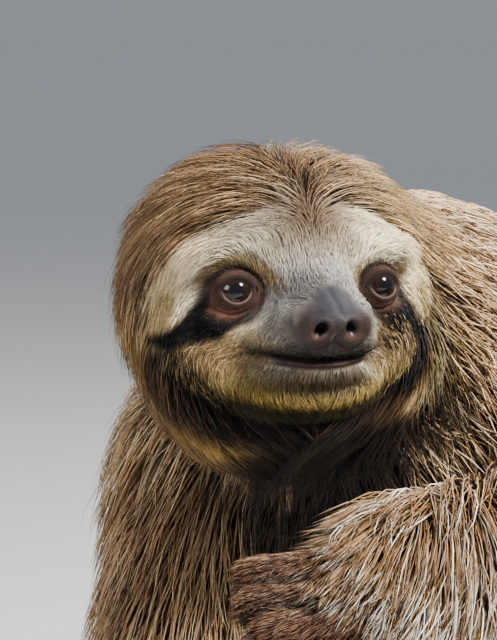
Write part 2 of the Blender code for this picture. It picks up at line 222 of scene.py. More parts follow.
def soft_least(a, b, width):
    """The lesser of two distances, rounded where they are within a width of each other."""
    near = np.maximum(width - np.abs(a - b), 0.0) / width
    return np.minimum(a, b) - near**2 * width / 4


def bone_distances(points):
    """Each point's distance from each bone's skin, and where along the bone it is nearest."""
    distances = np.empty((len(points), len(BONES)))
    shares = np.empty_like(distances)
    for k, bone in enumerate(BONES):
        axis = np.array(bone.end - bone.start)
        from_start = points - np.array(bone.start)
        share = np.clip(from_start @ axis / (axis @ axis), 0.0, 1.0)
        radius = bone.start_radius + (bone.end_radius - bone.start_radius) * share
        distances[:, k] = np.linalg.norm(from_start - share[:, None] * axis, axis=1) - radius
        shares[:, k] = share
    return distances, shares


def melted(distances, softness):
    """The least of each row's distances, melted together."""
    least = distances.min(axis=1)
    crowd = np.exp((least[:, None] - distances) / softness).sum(axis=1)
    return least - softness * np.log(crowd)


def body_distance(points):
    distances, _ = bone_distances(points)
    limbs = melted(distances[:, ~IS_TOE], BODY_BLEND)
    return soft_least(limbs, melted(distances[:, IS_TOE], TOE_BLEND), TOES_TO_LIMBS)


def to_head(points):
    """World metres to the head's own millimetres."""
    return (points - HEAD_AT) @ HEAD_TURNS / MM


def from_head(places):
    return places * MM @ HEAD_TURNS.T + HEAD_AT


def ellipsoid_distance(places, centre, radii):
    scaled = (places - np.array(centre)) / np.array(radii)
    outer = np.linalg.norm(scaled, axis=1)
    inner = np.linalg.norm(scaled / np.array(radii), axis=1)
    return outer * (outer - 1.0) / np.maximum(inner, 1e-6)


# (centre, radii, how softly it melts into what comes before), face to -Y.
HEAD_SKIN = [
    ((0.0, 12.0, 1.0), (44.0, 31.0, 40.0), 1.0),  # skull
    ((0.0, 10.0, -3.0), (42.0, 36.0, 36.5), 6.0),  # face
    ((0.0, 20.0, -24.0), (36.0, 30.0, 26.0), 8.0),  # throat
    ((0.0, -6.0, 16.0), (28.0, 18.0, 13.0), 10.0),  # forehead
    ((0.0, -15.5, -12.0), (20.8, 20.0, 17.0), 7.0),  # root of the muzzle
    ((0.0, -21.0, 1.0), (7.5, 13.0, 12.0), 9.0),  # bridge of the nose
    ((0.0, -31.5, -8.0), (11.0, 12.6, 10.2), 9.0),  # tip of the nose
    ((0.0, -11.0, -29.5), (23.5, 18.0, 12.5), 5.0),  # chin
    ((0.0, -19.5, -24.5), (16.5, 13.0, 4.2), 3.5),  # lower lip
]
HEAD_SKIN_PAIRS = [
    ((25.0, 1.0, -19.5), (18.5, 17.5, 18.0), 8.0),  # cheek
    ((23.0, -11.0, 12.5), (13.0, 8.0, 5.5), 5.0),  # brow
    ((8.6, -30.5, -9.8), (6.8, 10.6, 7.4), 3.5),  # wing of the nose
    ((6.6, -20.0, -15.2), (12.0, 15.2, 5.8), 3.5),  # upper lip
]
EYE_RADIUS = 6.0
EYE_AT = (23.6, -17.0, 1.0)
EYE_OUT = (0.16, -0.985, 0.03)  # the way the left eye looks
ORBIT = (8.2, (11.5, 5.6, 10.5), 4.0)  # forward of the eye, radii, softness
LID = (7.05, 2.5)  # radius of the lids, softness
BAG = ((27.0, -15.5, -7.0), (6.5, 4.5, 4.0), 3.0)  # loose skin under the eye


def mirrored(place, side):
    return (place[0] * side, place[1], place[2])


def eye_axes(side):
    """The eye's centre and its unit vectors: across (to the animal's right), out and up."""
    out = np.array(mirrored(EYE_OUT, side))
    out /= np.linalg.norm(out)
    up = np.array((0.0, 0.0, 1.0))
    up -= out * (up @ out)
    up /= np.linalg.norm(up)
    return np.array(mirrored(EYE_AT, side)), np.array([np.cross(up, -out), out, up])


def eye_local(places, side):
    """Places from the middle of an eye, along its own unit vectors."""
    centre, axes = eye_axes(side)
    return (places - centre) @ axes.T


def head_distance(places):
    """Distance in millimetres from the head's skin, without its finest details."""
    distance = np.full(len(places), 1e3)
    for centre, radii, soft in HEAD_SKIN:
        distance = soft_least(distance, ellipsoid_distance(places, centre, radii), soft)
    for side in (-1, 1):
        for centre, radii, soft in HEAD_SKIN_PAIRS:
            form = ellipsoid_distance(places, mirrored(centre, side), radii)
            distance = soft_least(distance, form, soft)
    for side in (-1, 1):
        local = eye_local(places, side)
        forward, radii, soft = ORBIT
        hollow = ellipsoid_distance(local, (0.0, forward, 0.0), radii)
        distance = -soft_least(-distance, hollow, soft)
        centre, radii, soft = BAG
        distance = soft_least(distance, ellipsoid_distance(places, mirrored(centre, side), radii), soft)
        radius, soft = LID
        distance = soft_least(distance, np.linalg.norm(local, axis=1) - radius, soft)
    return distance


def skin_distance(points):
    head = head_distance(to_head(points)) * MM
    return soft_least(body_distance(points), head, HEAD_TO_BODY)


def gradient(field, points, step=0.0004):
    """Unit gradient of a field of distances, from four nearby points."""
    total = np.zeros_like(points)
    for corner in ((1, -1, -1), (-1, -1, 1), (-1, 1, -1), (1, 1, 1)):
        corner = np.array(corner, float)
        total += field(points + corner * step)[:, None] * corner
    return total / np.maximum(np.linalg.norm(total, axis=1, keepdims=True), 1e-12)


# ---------------------------------------------------------------- small helpers


def smooth_step(low, high, values):
    share = np.clip((values - low) / (high - low), 0.0, 1.0)
    return share * share * (3 - 2 * share)


def unit(vectors):
    return vectors / np.maximum(np.linalg.norm(vectors, axis=-1, keepdims=True), 1e-9)


def hump(values, middle, width):
    """1 where the values are at the middle, fading away on both sides of it."""
    return np.exp(-(((values - middle) / width) ** 2))


def mixed(first, second, share):
    """From the first colour to the second, by each point's share."""
    share = np.asarray(share)[:, None]
    return first * (1 - share) + np.asarray(second) * share


def layered(colour, layers):
    """Lays colours over the first one, one after the other, each by its share at each point."""
    for over, share in layers:
        colour = mixed(colour, over, share)
    return colour


WAVES = 7


def waves(points, size, seed):
    """Smooth, cheap noise from about -1 to 1: a few sine waves in directions drawn once."""
    draw = np.random.default_rng(seed)
    total = np.zeros(len(points))
    for _ in range(WAVES):
        way = unit(draw.normal(size=3))
        turns = 2 * math.pi / (size * draw.uniform(0.6, 1.6))
        total += np.sin(points @ way * turns + draw.uniform(0, 6.3))
    return total / WAVES * 1.8


def ring_faces(rings, around):
    """Four-sided faces between rings of points that follow each other."""
    faces = []
    for low in range(0, (rings - 1) * around, around):
        for step in range(around):
            after = (step + 1) % around
            faces.append((low + step, low + after, low + around + after, low + around + step))
    return faces


def link(obj):
    bpy.context.scene.collection.objects.link(obj)
    return obj


def read_points(mesh):
    flat = np.empty(len(mesh.vertices) * 3, np.float32)
    mesh.vertices.foreach_get("co", flat)
    return flat.reshape(-1, 3).astype(float)


def write_points(mesh, points):
    mesh.vertices.foreach_set("co", np.ascontiguousarray(points, np.float32).ravel())
    mesh.update()


def paint(mesh, name, colours, last=1.0):
    """Stores a colour, and one more value, at each point of a mesh."""
    values = np.ones((len(mesh.vertices), 4), np.float32)
    values[:, :3] = colours
    values[:, 3] = last
    layer = mesh.color_attributes.new(name, "FLOAT_COLOR", "POINT")
    layer.data.foreach_set("color", values.ravel())


# ---------------------------------------------------------------- markings of the head

CREAM = (0.88, 0.80, 0.62)
SILVER = (0.50, 0.46, 0.42)
STRAW = (0.66, 0.48, 0.22)
FAWN = (0.34, 0.255, 0.17)
UMBER = (0.042, 0.022, 0.011)
SOOT = (0.005, 0.004, 0.0035)
SOCKET = (0.022, 0.0100, 0.0070)
SOCKET_DARK = (0.008, 0.0042, 0.0034)
LID_RED = (0.092, 0.037, 0.023)
LID_RIM = (0.15, 0.10, 0.085)
CHEEK_GOLD = (0.20, 0.125, 0.050)
CHEEK_BROWN = (0.24, 0.155, 0.070)
CHEEK_PALE = (0.42, 0.31, 0.12)
CHIN_GOLD = (0.245, 0.156, 0.008)
CHIN_DARK = (0.070, 0.050, 0.032)
MUZZLE_GREY = (0.075, 0.061, 0.047)
NOSE_DARK = (0.019, 0.0125, 0.0105)
# dark skin of the nose's bridge, with a painted bluish reflection of the sky on it
BRIDGE_SKIN_WITH_SHEEN = (0.018, 0.018, 0.024)
# pink skin of the nostrils' rims, and the colour of the painted highlight on the lower lip
PINK_SKIN_AND_LIP_SHEEN = (0.13, 0.062, 0.052)
LIP = (0.013, 0.0065, 0.0055)
LIP_DARK = (0.004, 0.003, 0.003)
HOOD_TAN = (0.205, 0.122, 0.058)
HOOD_BROWN = (0.15, 0.086, 0.042)
HOOD_GOLD = (0.29, 0.175, 0.040)
BAND_PALE = (0.74, 0.58, 0.33)
NAPE_PALE = (0.46, 0.33, 0.20)
HOOD_RUST = (0.16, 0.082, 0.026)
FRINGE = (0.25, 0.155, 0.055)
TEMPLE_GOLD = (0.46, 0.33, 0.14)
HOOD_STRAW = (0.44, 0.28, 0.11)
HOOD_PALE = (0.56, 0.40, 0.22)
NOSE_FUR = (0.060, 0.058, 0.063)

FACE_HALF_WIDTH = 43.5
FACE_TOP = 25.5
FACE_BOTTOM = 38.5
FACE_POWER = 2.3
FACE_SHIFT = 2.5  # how far the cheeks' markings lie to its right
MOUTH_AT = -20.8
MOUTH_RISE = 3.4
MOUTH_HALF = 21.0


def face_edge(places):
    """1 on the outline of the pale face, less inside it, more outside."""
    x, z = places[:, 0], places[:, 2] + 1.0
    x = x + FACE_SHIFT * smooth_step(2.0, -10.0, z)
    tall = np.where(z > 0, z / (FACE_TOP + 1.0), -z / (FACE_BOTTOM - 1.0))
    edge = (np.abs(x / FACE_HALF_WIDTH) ** FACE_POWER + np.abs(tall) ** FACE_POWER) ** (1 / FACE_POWER)
    return edge + np.maximum(places[:, 1] - 8.0, 0.0) * 0.04


def in_face(places):
    return 1 - smooth_step(0.95, 1.05, face_edge(places))


def oval(places, centre, radii, tilt=0.0, soft=0.25):
    """1 inside an oval seen from the front, on both sides of the face, fading across its edge."""
    x, z = np.abs(places[:, 0]) - centre[0], places[:, 2] - centre[1]
    turn = math.radians(tilt)
    across = (x * math.cos(turn) + z * math.sin(turn)) / radii[0]
    tall = (-x * math.sin(turn) + z * math.cos(turn)) / radii[1]
    return 1 - smooth_step(1 - soft, 1 + soft, np.hypot(across, tall))


def streak(places, start, end, half_width, soft=0.35):
    """1 along a band between two places seen from the front, on both sides of the face."""
    spot = np.stack([np.abs(places[:, 0]), places[:, 2]], axis=1)
    way = np.array(end, float) - np.array(start, float)
    share = np.clip((spot - start) @ way / (way @ way), 0, 1)
    gap = np.linalg.norm(spot - start - share[:, None] * way, axis=1)
    return 1 - smooth_step(1 - soft, 1 + soft, gap / half_width)


def mouth_height(x):
    return MOUTH_AT + MOUTH_RISE * (np.abs(x) / MOUTH_HALF) ** 2


def nose_amount(places):
    front = smooth_step(-22.0, -28.0, places[:, 1])
    tip = oval(places, (0.0, -10.0), (15.0, 8.6), soft=0.3)
    return np.maximum(tip, oval(places, (0.0, -4.5), (7.2, 7.2), soft=0.45)) * front


def lip_amount(places):
    below = mouth_height(places[:, 0]) - places[:, 2]
    front = smooth_step(-12.0, -17.0, places[:, 1])
    band = smooth_step(-1.4, -0.6, below) * (1 - smooth_step(2.2, 3.8, below))
    return band * front * (1 - smooth_step(MOUTH_HALF - 8, MOUTH_HALF - 1, np.abs(places[:, 0])))


def mouth_amount(places):
    """1 along the dark line between the lips."""
    side = np.abs(places[:, 0])
    width = 1.25 - 0.7 * smooth_step(8.0, MOUTH_HALF, side)
    gap = (places[:, 2] - mouth_height(places[:, 0]) - 0.3) / width
    front = smooth_step(-10.0, -15.0, places[:, 1])
    return np.exp(-(gap**2)) * front * (1 - smooth_step(MOUTH_HALF - 1, MOUTH_HALF + 3, side))


def nostril_amount(places):
    """1 in the middle of each nostril, a comma that opens to the side."""
    side = np.abs(places[:, 0]) - 5.0
    tall = (places[:, 2] + 11.2 + side * 0.25) / 1.75
    return np.exp(-(((side / 1.65) ** 2 + tall**2) ** 1.6)) * smooth_step(-30.0, -34.0, places[:, 1])


# Painted shade in the creases of the lids and folds round the eye, as dark lines: how far out, half width,
# strength, and share of it under the eye.
EYE_CREASE_SHADE = [(5.30, 0.45, 0.80, 0.5), (6.4, 0.3, 0.4, 0.5), (7.6, 0.45, 0.9, 0.2), (9.3, 0.9, 0.95, 0.8)]


def eye_reach(local, side):
    """Distance from the middle of an eye, less down and out, where its bare skin reaches farthest."""
    reach = np.hypot(local[:, 0], local[:, 2] * 1.12)
    lean = (-side * local[:, 0] * 0.75 - local[:, 2] * 0.66) / np.maximum(reach, 1e-3)
    stretch = 0.40 if side < 0 else 0.16
    return reach / (1 + stretch * np.clip(lean, 0, 1) ** 2), lean


def socket_colours(places, side):
    """Bare skin round an eye: painted shade in its folds and wrinkles, a dark edge and the pale wet rim of
    the lower lid. And its share.
    """
    local = eye_local(places, side)
    across, out, up = local.T
    near_rim = np.hypot(across, up * 1.12)
    reach, lean = eye_reach(local, side)
    upper = smooth_step(-1.5, 1.5, up)
    outward = -side * across / np.maximum(near_rim, 1e-3)
    red = (1 - upper) * (0.12 + 0.88 * smooth_step(0.05, 0.9, lean))
    red = red + upper * 0.40 * smooth_step(-0.75, 0.1, outward)
    patchy = 0.75 + 0.25 * np.sin(across * 2.1 + up * 1.3) * np.sin(up * 2.7)
    # painted light and shade: rings of more and less red that follow the wrinkles round the eye
    patchy = patchy * (1 + 0.30 * np.sin(reach * 6.5 + 1.4 * np.sin(across * 1.7)))
    # the left eye is the less red below
    red = red * patchy * (1.15 - 0.65 * (side > 0) * (1 - upper))
    layers = [(LID_RED, red * hump(reach, 6.6, 1.7))]
    # painted shade in the creases round the eye
    for radius, width, amount, low in EYE_CREASE_SHADE:
        layers.append((SOCKET_DARK, hump(reach, radius, width) * amount * (low + (1 - low) * upper)))
    layers += [
        (SOCKET_DARK, hump(near_rim, 5.0, 0.45) * 0.75),
        (LID_RIM, (1 - upper) * hump(near_rim, 4.4, 0.20) * 0.6),
        (SOCKET_DARK, upper * hump(near_rim, 4.6, 0.7)),
    ]
    near = smooth_step(-2.0, 1.0, out) * (1 - smooth_step(8.2, 9.6, reach))
    return layered(np.tile(SOCKET, (len(places), 1)), layers), near


# Places, seen from the front, along the dark line round the left cheek.
CHEEK_LINE = [(33.8, -6.5), (39.0, -13.0), (40.2, -18.0), (37.5, -24.0), (31.5, -31.5)]


def cheek_line(places):
    """1 along the dark line that runs from the left eye's stripe down and round the cheek."""
    line = [streak(places, start, end, 2.1, 0.35) for start, end in zip(CHEEK_LINE, CHEEK_LINE[1:])]
    return np.max(line, axis=0) * smooth_step(5.0, 15.0, places[:, 0])


def temple_tip(places):
    """1 where the pale hair of each temple ends in a golden point beyond the stripe."""
    tip = streak(places, (42.0, -1.0), (46.0, -15.0), 2.2, 0.5)
    return np.maximum(tip, streak(places, (45.5, -12.0), (46.5, -22.0), 2.0, 0.6) * (places[:, 0] > 0))


def hood_colours(places):
    """Brown crown, tan at the sides, golden outer locks under the cheeks, dark next to the face."""
    x, y, z = places.T
    edge = face_edge(places)
    side = smooth_step(20.0, 44.0, np.abs(x))
    left = smooth_step(-8.0, 8.0, x)
    low = smooth_step(4.0, -20.0, z)
    # the gap between the cheek and the band of pale or golden hair that rings it
    gap = 1.06 + smooth_step(-15.0, -32.0, z) * (0.21 - 0.12 * left)
    fading = smooth_step(5.0, 25.0, x) * smooth_step(-33.0, -42.0, z)
    band = low * smooth_step(gap, gap + 0.09, edge) * (1 - fading)
    outer = smooth_step(gap + 0.15, gap + 0.27, edge) * (1 - left)
    bright = band * smooth_step(10.0, 34.0, x)
    # the throat and the hair under the chin: dark fur, with painted shade that makes it nearly black
    throat = smooth_step(-36.0, -44.0, z) * (1 - smooth_step(22.0, 33.0, np.abs(x - 12.0)))
    under = smooth_step(1.30, 1.42, edge) * smooth_step(-26.0, -36.0, z) * smooth_step(0.0, 15.0, x)
    rust = smooth_step(-42.0, -50.0, x) * smooth_step(4.0, -8.0, z) * smooth_step(26.0, 12.0, y)
    layers = [
        (HOOD_TAN, 0.25 + 0.5 * side),
        (HOOD_GOLD, band * 0.9 * (1 - 0.8 * outer)),
        (HOOD_STRAW, bright * hump(edge - gap, 0.09, 0.07) * 0.9),
        (BAND_PALE, bright * hump(edge - gap, 0.17, 0.07) * 0.85),
        (UMBER, (1 - low) * 0.7 * hump(edge, 1.03, 0.07)),
        (UMBER, smooth_step(-6.0, -16.0, z) * (1 - smooth_step(gap, gap + 0.10, edge)) * 0.9),
        (SOOT, smooth_step(-6.0, -14.0, z) * (1 - smooth_step(gap - 0.06, gap, edge)) * 0.85),
        (HOOD_STRAW, smooth_step(15.0, 40.0, x) * smooth_step(-16.0, 4.0, z) * 0.6),
        (SOOT, np.maximum(throat, under) * 0.95),
        (TEMPLE_GOLD, temple_tip(places) * 0.8),
        (NAPE_PALE, smooth_step(38.0, 56.0, y) * 0.6),
        (HOOD_RUST, rust * 0.6),
        (SOOT, cheek_line(places) * 0.95),
    ]
    return layered(np.tile(HOOD_BROWN, (len(places), 1)), layers)


def pale_fur(places):
    """The face's ground colour, before its markings, with painted light and shade: darker on the animal's
    right, lighter again at that side's edge, and lighter on its left.
    """
    x = places[:, 0]
    side = smooth_step(20.0, 44.0, np.abs(x))
    layers = [
        (STRAW, smooth_step(0.70, 1.0, face_edge(places)) * (0.30 + 0.35 * side)),
        (FAWN, oval(places, (0.0, 21.0), (15.0, 14.0), soft=0.6) * 0.9),
        (HOOD_BROWN, oval(places, (0.0, 27.0), (9.0, 8.0), soft=0.7) * 0.8),
    ]
    # painted light and shade across the face: darker on the animal's right of the middle, lighter again at
    # that side's edge, and lighter on its left
    painted_light = 1 - 0.24 * smooth_step(0.0, -16.0, x) + 0.44 * smooth_step(-30.0, -40.0, x)
    painted_light = painted_light + 0.16 * smooth_step(8.0, 20.0, x)
    return layered(np.tile(CREAM, (len(places), 1)), layers) * painted_light[:, None]


def fur_layers(places):
    """Colours of the muzzle, brows, cheeks and chin, and their shares."""
    x, _, z = places.T
    left = smooth_step(4.0, 12.0, x)
    dark_fur = 0.75 - 0.45 * smooth_step(-2, 4, x)
    fringe = oval(places, (23.8, 0.6), (12.4, 12.6), 50.0, 0.16) * smooth_step(-2.0, 5.0, z)
    return [
        (SILVER, oval(places, (0.0, -4.0), (20.0, 17.0), soft=0.4)),
        (NOSE_FUR, oval(places, (7.0, 0.5), (8.5, 6.5), soft=0.6) * dark_fur),
        (STRAW, oval(places, (26.5, -12.5), (8.0, 5.0), soft=0.5) * 0.5),
        (FRINGE, fringe * 0.85 * (1 - 0.55 * left * smooth_step(5.0, 11.0, z))),
        (MUZZLE_GREY, oval(places, (0.0, -12.5), (19.0, 9.2), soft=0.45) * 0.85),
        (CHEEK_GOLD, oval(places, (22.0, -19.5), (9.0, 5.0), soft=0.5) * 0.8),
        (CHEEK_BROWN, oval(places, (38.0, -21.0), (17.0, 9.5), -25.0, 0.4)),
        (CHIN_GOLD, smooth_step(-23.0, -29.0, z) * 0.9),
        (CHEEK_PALE, oval(places, (25.0, -25.5), (7.5, 3.8), -12.0, 0.6) * 0.75),
        (CHIN_DARK, oval(places, (0.0, -26.0), (18.5, 6.8), soft=0.45) * 0.9),
        (TEMPLE_GOLD, temple_tip(places) * 0.8),
        (TEMPLE_GOLD, oval(places, (40.0, -6.0), (4.5, 9.0), soft=0.6) * left * 0.45),
        (UMBER, oval(places, (29.5, -12.5), (9.5, 8.0), soft=0.4) * left * 0.9),
    ]


def stripe_layers(places):
    """Colours of the dark rim of the cheeks and of the stripes from the eyes, and their shares."""
    left = smooth_step(4.0, 12.0, places[:, 0])
    below = smooth_step(-15.0, -20.0, places[:, 2] + left * 10.0)
    return [
        (SOOT, smooth_step(0.90, 0.97, face_edge(places)) * below * 0.9),
        (SOCKET_DARK, oval(places, (24.6, -0.8), (9.4, 10.4), 50.0, 0.16) * 0.95),
        (SOCKET_DARK, streak(places, (27.0, -3.5), (32.0, -8.0), 6.4, 0.25)),
        (SOOT, streak(places, (30.5, -7.5), (37.0, -11.2), 4.4, 0.3) * (1 - 0.60 * left)),
        (SOOT, streak(places, (36.0, -10.0), (43.0, -14.5), 3.0, 0.4) * (1 - 0.85 * left)),
        (SOOT, cheek_line(places)),
    ]


def nose_and_mouth_layers(places):
    """Colours of the nose's bare skin, the nostrils and the lips, with a painted reflection on the nose's
    bridge and a painted highlight along the lower lip, and their shares.
    """
    x, y, z = places.T
    nose, lips = nose_amount(places), lip_amount(places)
    above_lip = oval(places, (0.0, -17.6), (19.0, 2.6), soft=0.6) * smooth_step(-14.0, -19.0, y)
    rim = np.hypot((np.abs(x) - 5.6) / 4.2, (z + 13.4) / 2.0)
    # painted highlight: a thin line of wet sheen along the top of the lower lip
    wet = hump(z - mouth_height(x), -1.5, 0.35) * (1 - smooth_step(8.0, 17.0, np.abs(x)))
    return [
        (SOOT, above_lip * 0.8),
        (NOSE_DARK, nose),
        # painted reflection: the bridge's dark skin painted bluish grey, as the sky shows in it
        (BRIDGE_SKIN_WITH_SHEEN, oval(places, (0.5, -1.5), (8.0, 7.0), soft=0.6) * nose),
        (PINK_SKIN_AND_LIP_SHEEN, np.exp(-(rim**2) * 1.6) * 0.45 * nose),
        (LIP_DARK, np.clip(nostril_amount(places) * 1.6, 0, 1)),
        (LIP, lips),
        (PINK_SKIN_AND_LIP_SHEEN, wet * lips * 0.45),
        (LIP_DARK, mouth_amount(places)),
    ]


def face_colours(places):
    """The face's markings, on hair and on bare skin."""
    layers = fur_layers(places) + stripe_layers(places)
    layers += [socket_colours(places, side) for side in (-1, 1)]
    return layered(pale_fur(places), layers + nose_and_mouth_layers(places))


def head_colours(places):
    return mixed(hood_colours(places), face_colours(places), in_face(places))


# ---------------------------------------------------------------- coat of each zone

Coat = namedtuple("Coat", "density length width lift along down depth clump palette")
# density: hairs to a square centimetre; length, width, depth and clump (from lock to lock): millimetres;
# lift: degrees; along and down: how much hair lies along the bone, and hangs.
COATS = {
    "trunk": Coat(4.25, 48, 1.80, 30, -0.5, 0.9, 17, 10, "back"),
    "neck": Coat(15, 38, 0.95, 30, -0.7, 0.6, 15, 7, "back"),
    "tail": Coat(9, 22, 1.30, 26, 1.0, 0.2, 11, 6, "back"),
    "shoulder": Coat(13.4, 40, 0.95, 30, 0.5, 0.8, 16, 8, "back"),
    "upper_arm": Coat(13.0, 40, 0.95, 30, 0.5, 0.8, 15, 8, "arm"),
    "forearm": Coat(7, 38, 1.45, 26, 0.8, 0.4, 12, 8, "arm"),
    "hand": Coat(20, 16, 0.90, 22, 1.0, 0.1, 6, 4, "hand"),
    "hand_toe": Coat(34, 8, 0.66, 18, 1.0, 0.0, 3, 3, "hand"),
    "hip": Coat(4.35, 42, 1.90, 28, 0.5, 0.8, 16, 10, "leg"),
    "thigh": Coat(4.35, 36, 1.80, 26, 0.7, 0.6, 14, 9, "leg"),
    "shin": Coat(6.2, 28, 1.50, 24, 0.8, 0.4, 11, 8, "leg"),
    "foot": Coat(18, 14, 0.95, 22, 1.0, 0.1, 6, 4, "hand"),
    "foot_toe": Coat(30, 8, 0.70, 18, 1.0, 0.0, 3, 3, "hand"),
    "forearm_left": Coat(54, 40, 0.64, 34, 0.0, 1.0, 13, 6, "raised"),
    "hand_left": Coat(72, 22, 0.52, 28, 0.35, 1.0, 8, 5, "raised"),
    "hand_toe_left": Coat(150, 4.2, 0.32, 9, 1.0, 0.1, 1.0, 2, "fingers"),
}
HOOD = Coat(84, 30, 0.40, 22, 0.0, 0.0, 6.4, 5, "head")
NECK_OUTWARD = 0.65  # how much of the neck's hair lies out towards the shoulders
LEAN = 3.6  # how fast hair on the raised forearm leans away from where it hangs straight
HANGS_AT = 0.93  # how far along that forearm it does
OVER_THE_RIDGE = (0.25, -0.60, 0.0)  # towards the front, over the top of that forearm

# Colours with their shares, for the outer hairs of each zone, and the undercoat's, which is dark fur with
# painted shade deep in the coat.
PALETTES = {
    "back": (((0.48, 0.305, 0.150), 0.44), ((0.68, 0.525, 0.335), 0.28), ((0.10, 0.053, 0.024), 0.28)),
    "arm": (((0.42, 0.26, 0.13), 0.50), ((0.62, 0.45, 0.27), 0.26), ((0.12, 0.064, 0.032), 0.24)),
    "raised": (((0.88, 0.82, 0.71), 0.42), ((0.36, 0.215, 0.095), 0.30), ((0.060, 0.030, 0.014), 0.28)),
    "hand": (((0.30, 0.165, 0.075), 0.50), ((0.12, 0.060, 0.028), 0.28), ((0.52, 0.36, 0.21), 0.22)),
    "leg": (((0.44, 0.29, 0.16), 0.45), ((0.66, 0.52, 0.34), 0.22), ((0.11, 0.060, 0.030), 0.33)),
    "fingers": (((0.12, 0.058, 0.029), 0.55), ((0.050, 0.023, 0.012), 0.27), ((0.24, 0.145, 0.085), 0.18)),
}
UNDERCOAT_IN_SHADE = {
    "back": (0.034, 0.019, 0.010),
    "arm": (0.040, 0.022, 0.011),
    "raised": (0.026, 0.011, 0.005),
    "hand": (0.050, 0.026, 0.013),
    "leg": (0.038, 0.021, 0.011),
    "fingers": (0.030, 0.013, 0.008),
}
RIDGE_RUST = (0.21, 0.105, 0.036)
# nearly black: the throat's and chest's dark fur, with painted shade
CHEST = (0.006, 0.005, 0.0045)


def coat_of(bone):
    return COATS.get(f"{bone.zone}_{bone.side}", COATS.get(bone.zone))


BONE_COATS = [coat_of(bone) for bone in BONES]
IS_CENTRAL = np.array([bone.zone in ("trunk", "neck", "shoulder") for bone in BONES])
IN_LEFT_HAND = [k for k, bone in enumerate(BONES) if bone.zone == "hand" and bone.side == "left"]


def bone_weights(points, softness=0.007):
    """How much each bone's coat counts at each point, and the points' shares along the bones."""
    distances, shares = bone_distances(points)
    weights = np.exp((distances.min(axis=1, keepdims=True) - distances) / softness)
    return weights / weights.sum(axis=1, keepdims=True), shares


def head_weight(points):
    """1 on the head, fading over the nape into the body's coat."""
    places = to_head(points)
    return smooth_step(0.010, -0.002, head_distance(places) * MM - body_distance(points))


def body_comb(points, weights, shares):
    """The way hair lies on the body, before it is laid on the skin."""
    high = smooth_step(0.310, 0.350, points[:, 2])
    total = np.zeros((len(weights), 3))
    for k, (bone, coat) in enumerate(zip(BONES, BONE_COATS)):
        axis = np.array((bone.end - bone.start).normalized())
        along = np.full(len(weights), coat.along)
        if bone.zone == "forearm" and bone.side == "left":
            along = np.clip((shares[:, k] - HANGS_AT) * LEAN, -0.65, 0.5)
        down = np.full(len(weights), coat.down)
        if bone.zone in ("neck", "shoulder") and bone.side != "right":
            down = coat.down * (1 - 0.7 * high)
        way = along[:, None] * axis - down[:, None] * np.array((0.0, 0.0, 1.0))
        if bone.zone == "neck":
            way[:, 0] += NECK_OUTWARD * np.tanh(points[:, 0] / 0.02)
        if coat.palette == "raised":
            way = way + np.array(OVER_THE_RIDGE)
        total += weights[:, k, None] * way
    return total


def head_comb(places):
    """The way hair lies on the head, in its own frame: out from the nose on the face, and round the
    face and back on the hood."""
    x, _, z = places.T
    # face: out from the bridge of the nose, and away from each eye
    turned = 0.9 * np.maximum(np.abs(x) - EYE_AT[0], 0.0)
    way = unit(np.stack([x, 22.0 * smooth_step(16.0, 40.0, np.abs(x)), z + 6.0 - turned], axis=1))
    for side in (-1, 1):
        away = places - np.array(mirrored(EYE_AT, side))
        away[:, 1] = 0.0
        away[:, 2] -= turned
        near = hump(np.linalg.norm(away, axis=1), 0.0, 13.0)
        way = way + unit(away) * near[:, None] * 1.6
    # hood: round the face from the parting down, and back
    radial = unit(np.stack([x, z + 2.0], axis=1))
    parted = np.tanh(x / 8.0)
    round_face = np.stack([parted * radial[:, 1], np.zeros_like(x), -np.abs(radial[:, 0])], axis=1)
    top = smooth_step(0.2, 0.9, radial[:, 1])
    back = np.array((0.0, 1.0, 0.0)) * (0.22 + 0.45 * top)[:, None]
    hood = round_face * 1.2 + back + np.array((0.0, 0.0, -0.12))
    share = 1 - smooth_step(0.62, 1.0, face_edge(places))[:, None]
    return unit(way) * share + unit(hood) * (1 - share)


def comb(points):
    weights, shares = bone_weights(points)
    body = unit(body_comb(points, weights, shares))
    head = head_comb(to_head(points)) @ HEAD_TURNS.T
    share = head_weight(points)[:, None]
    return body * (1 - share) + head * share


# ---------------------------------------------------------------- skin

SKIN_VOXEL = 0.0032
BEAD_SPACING = 0.30
MOST_MOVE = 0.004


def add_beads(bm, bone):
    length = (bone.end - bone.start).length
    count = max(2, math.ceil(length / (BEAD_SPACING * min(bone.start_radius, bone.end_radius))))
    for step in range(count + 1):
        share = step / count
        radius = bone.start_radius + (bone.end_radius - bone.start_radius) * share
        place = Matrix.Translation(bone.start.lerp(bone.end, share))
        bmesh.ops.create_icosphere(bm, subdivisions=2, radius=radius, matrix=place)


def add_head_forms(bm):
    forms = list(HEAD_SKIN)
    for centre, radii, soft in HEAD_SKIN_PAIRS:
        forms += [(mirrored(centre, side), radii, soft) for side in (-1, 1)]
    for centre, radii, _ in forms:
        place = HEAD @ Matrix.Translation(Vector(centre) * MM) @ Matrix.Diagonal((*(Vector(radii) * MM), 1.0))
        bmesh.ops.create_icosphere(bm, subdivisions=3, radius=1.0, matrix=place)


def settle(points, field, rounds):
    """Moves points onto the surface where the field is nought."""
    for _ in range(rounds):
        away = np.clip(field(points), -MOST_MOVE, MOST_MOVE)
        points = points - gradient(field, points) * away[:, None]
    return points


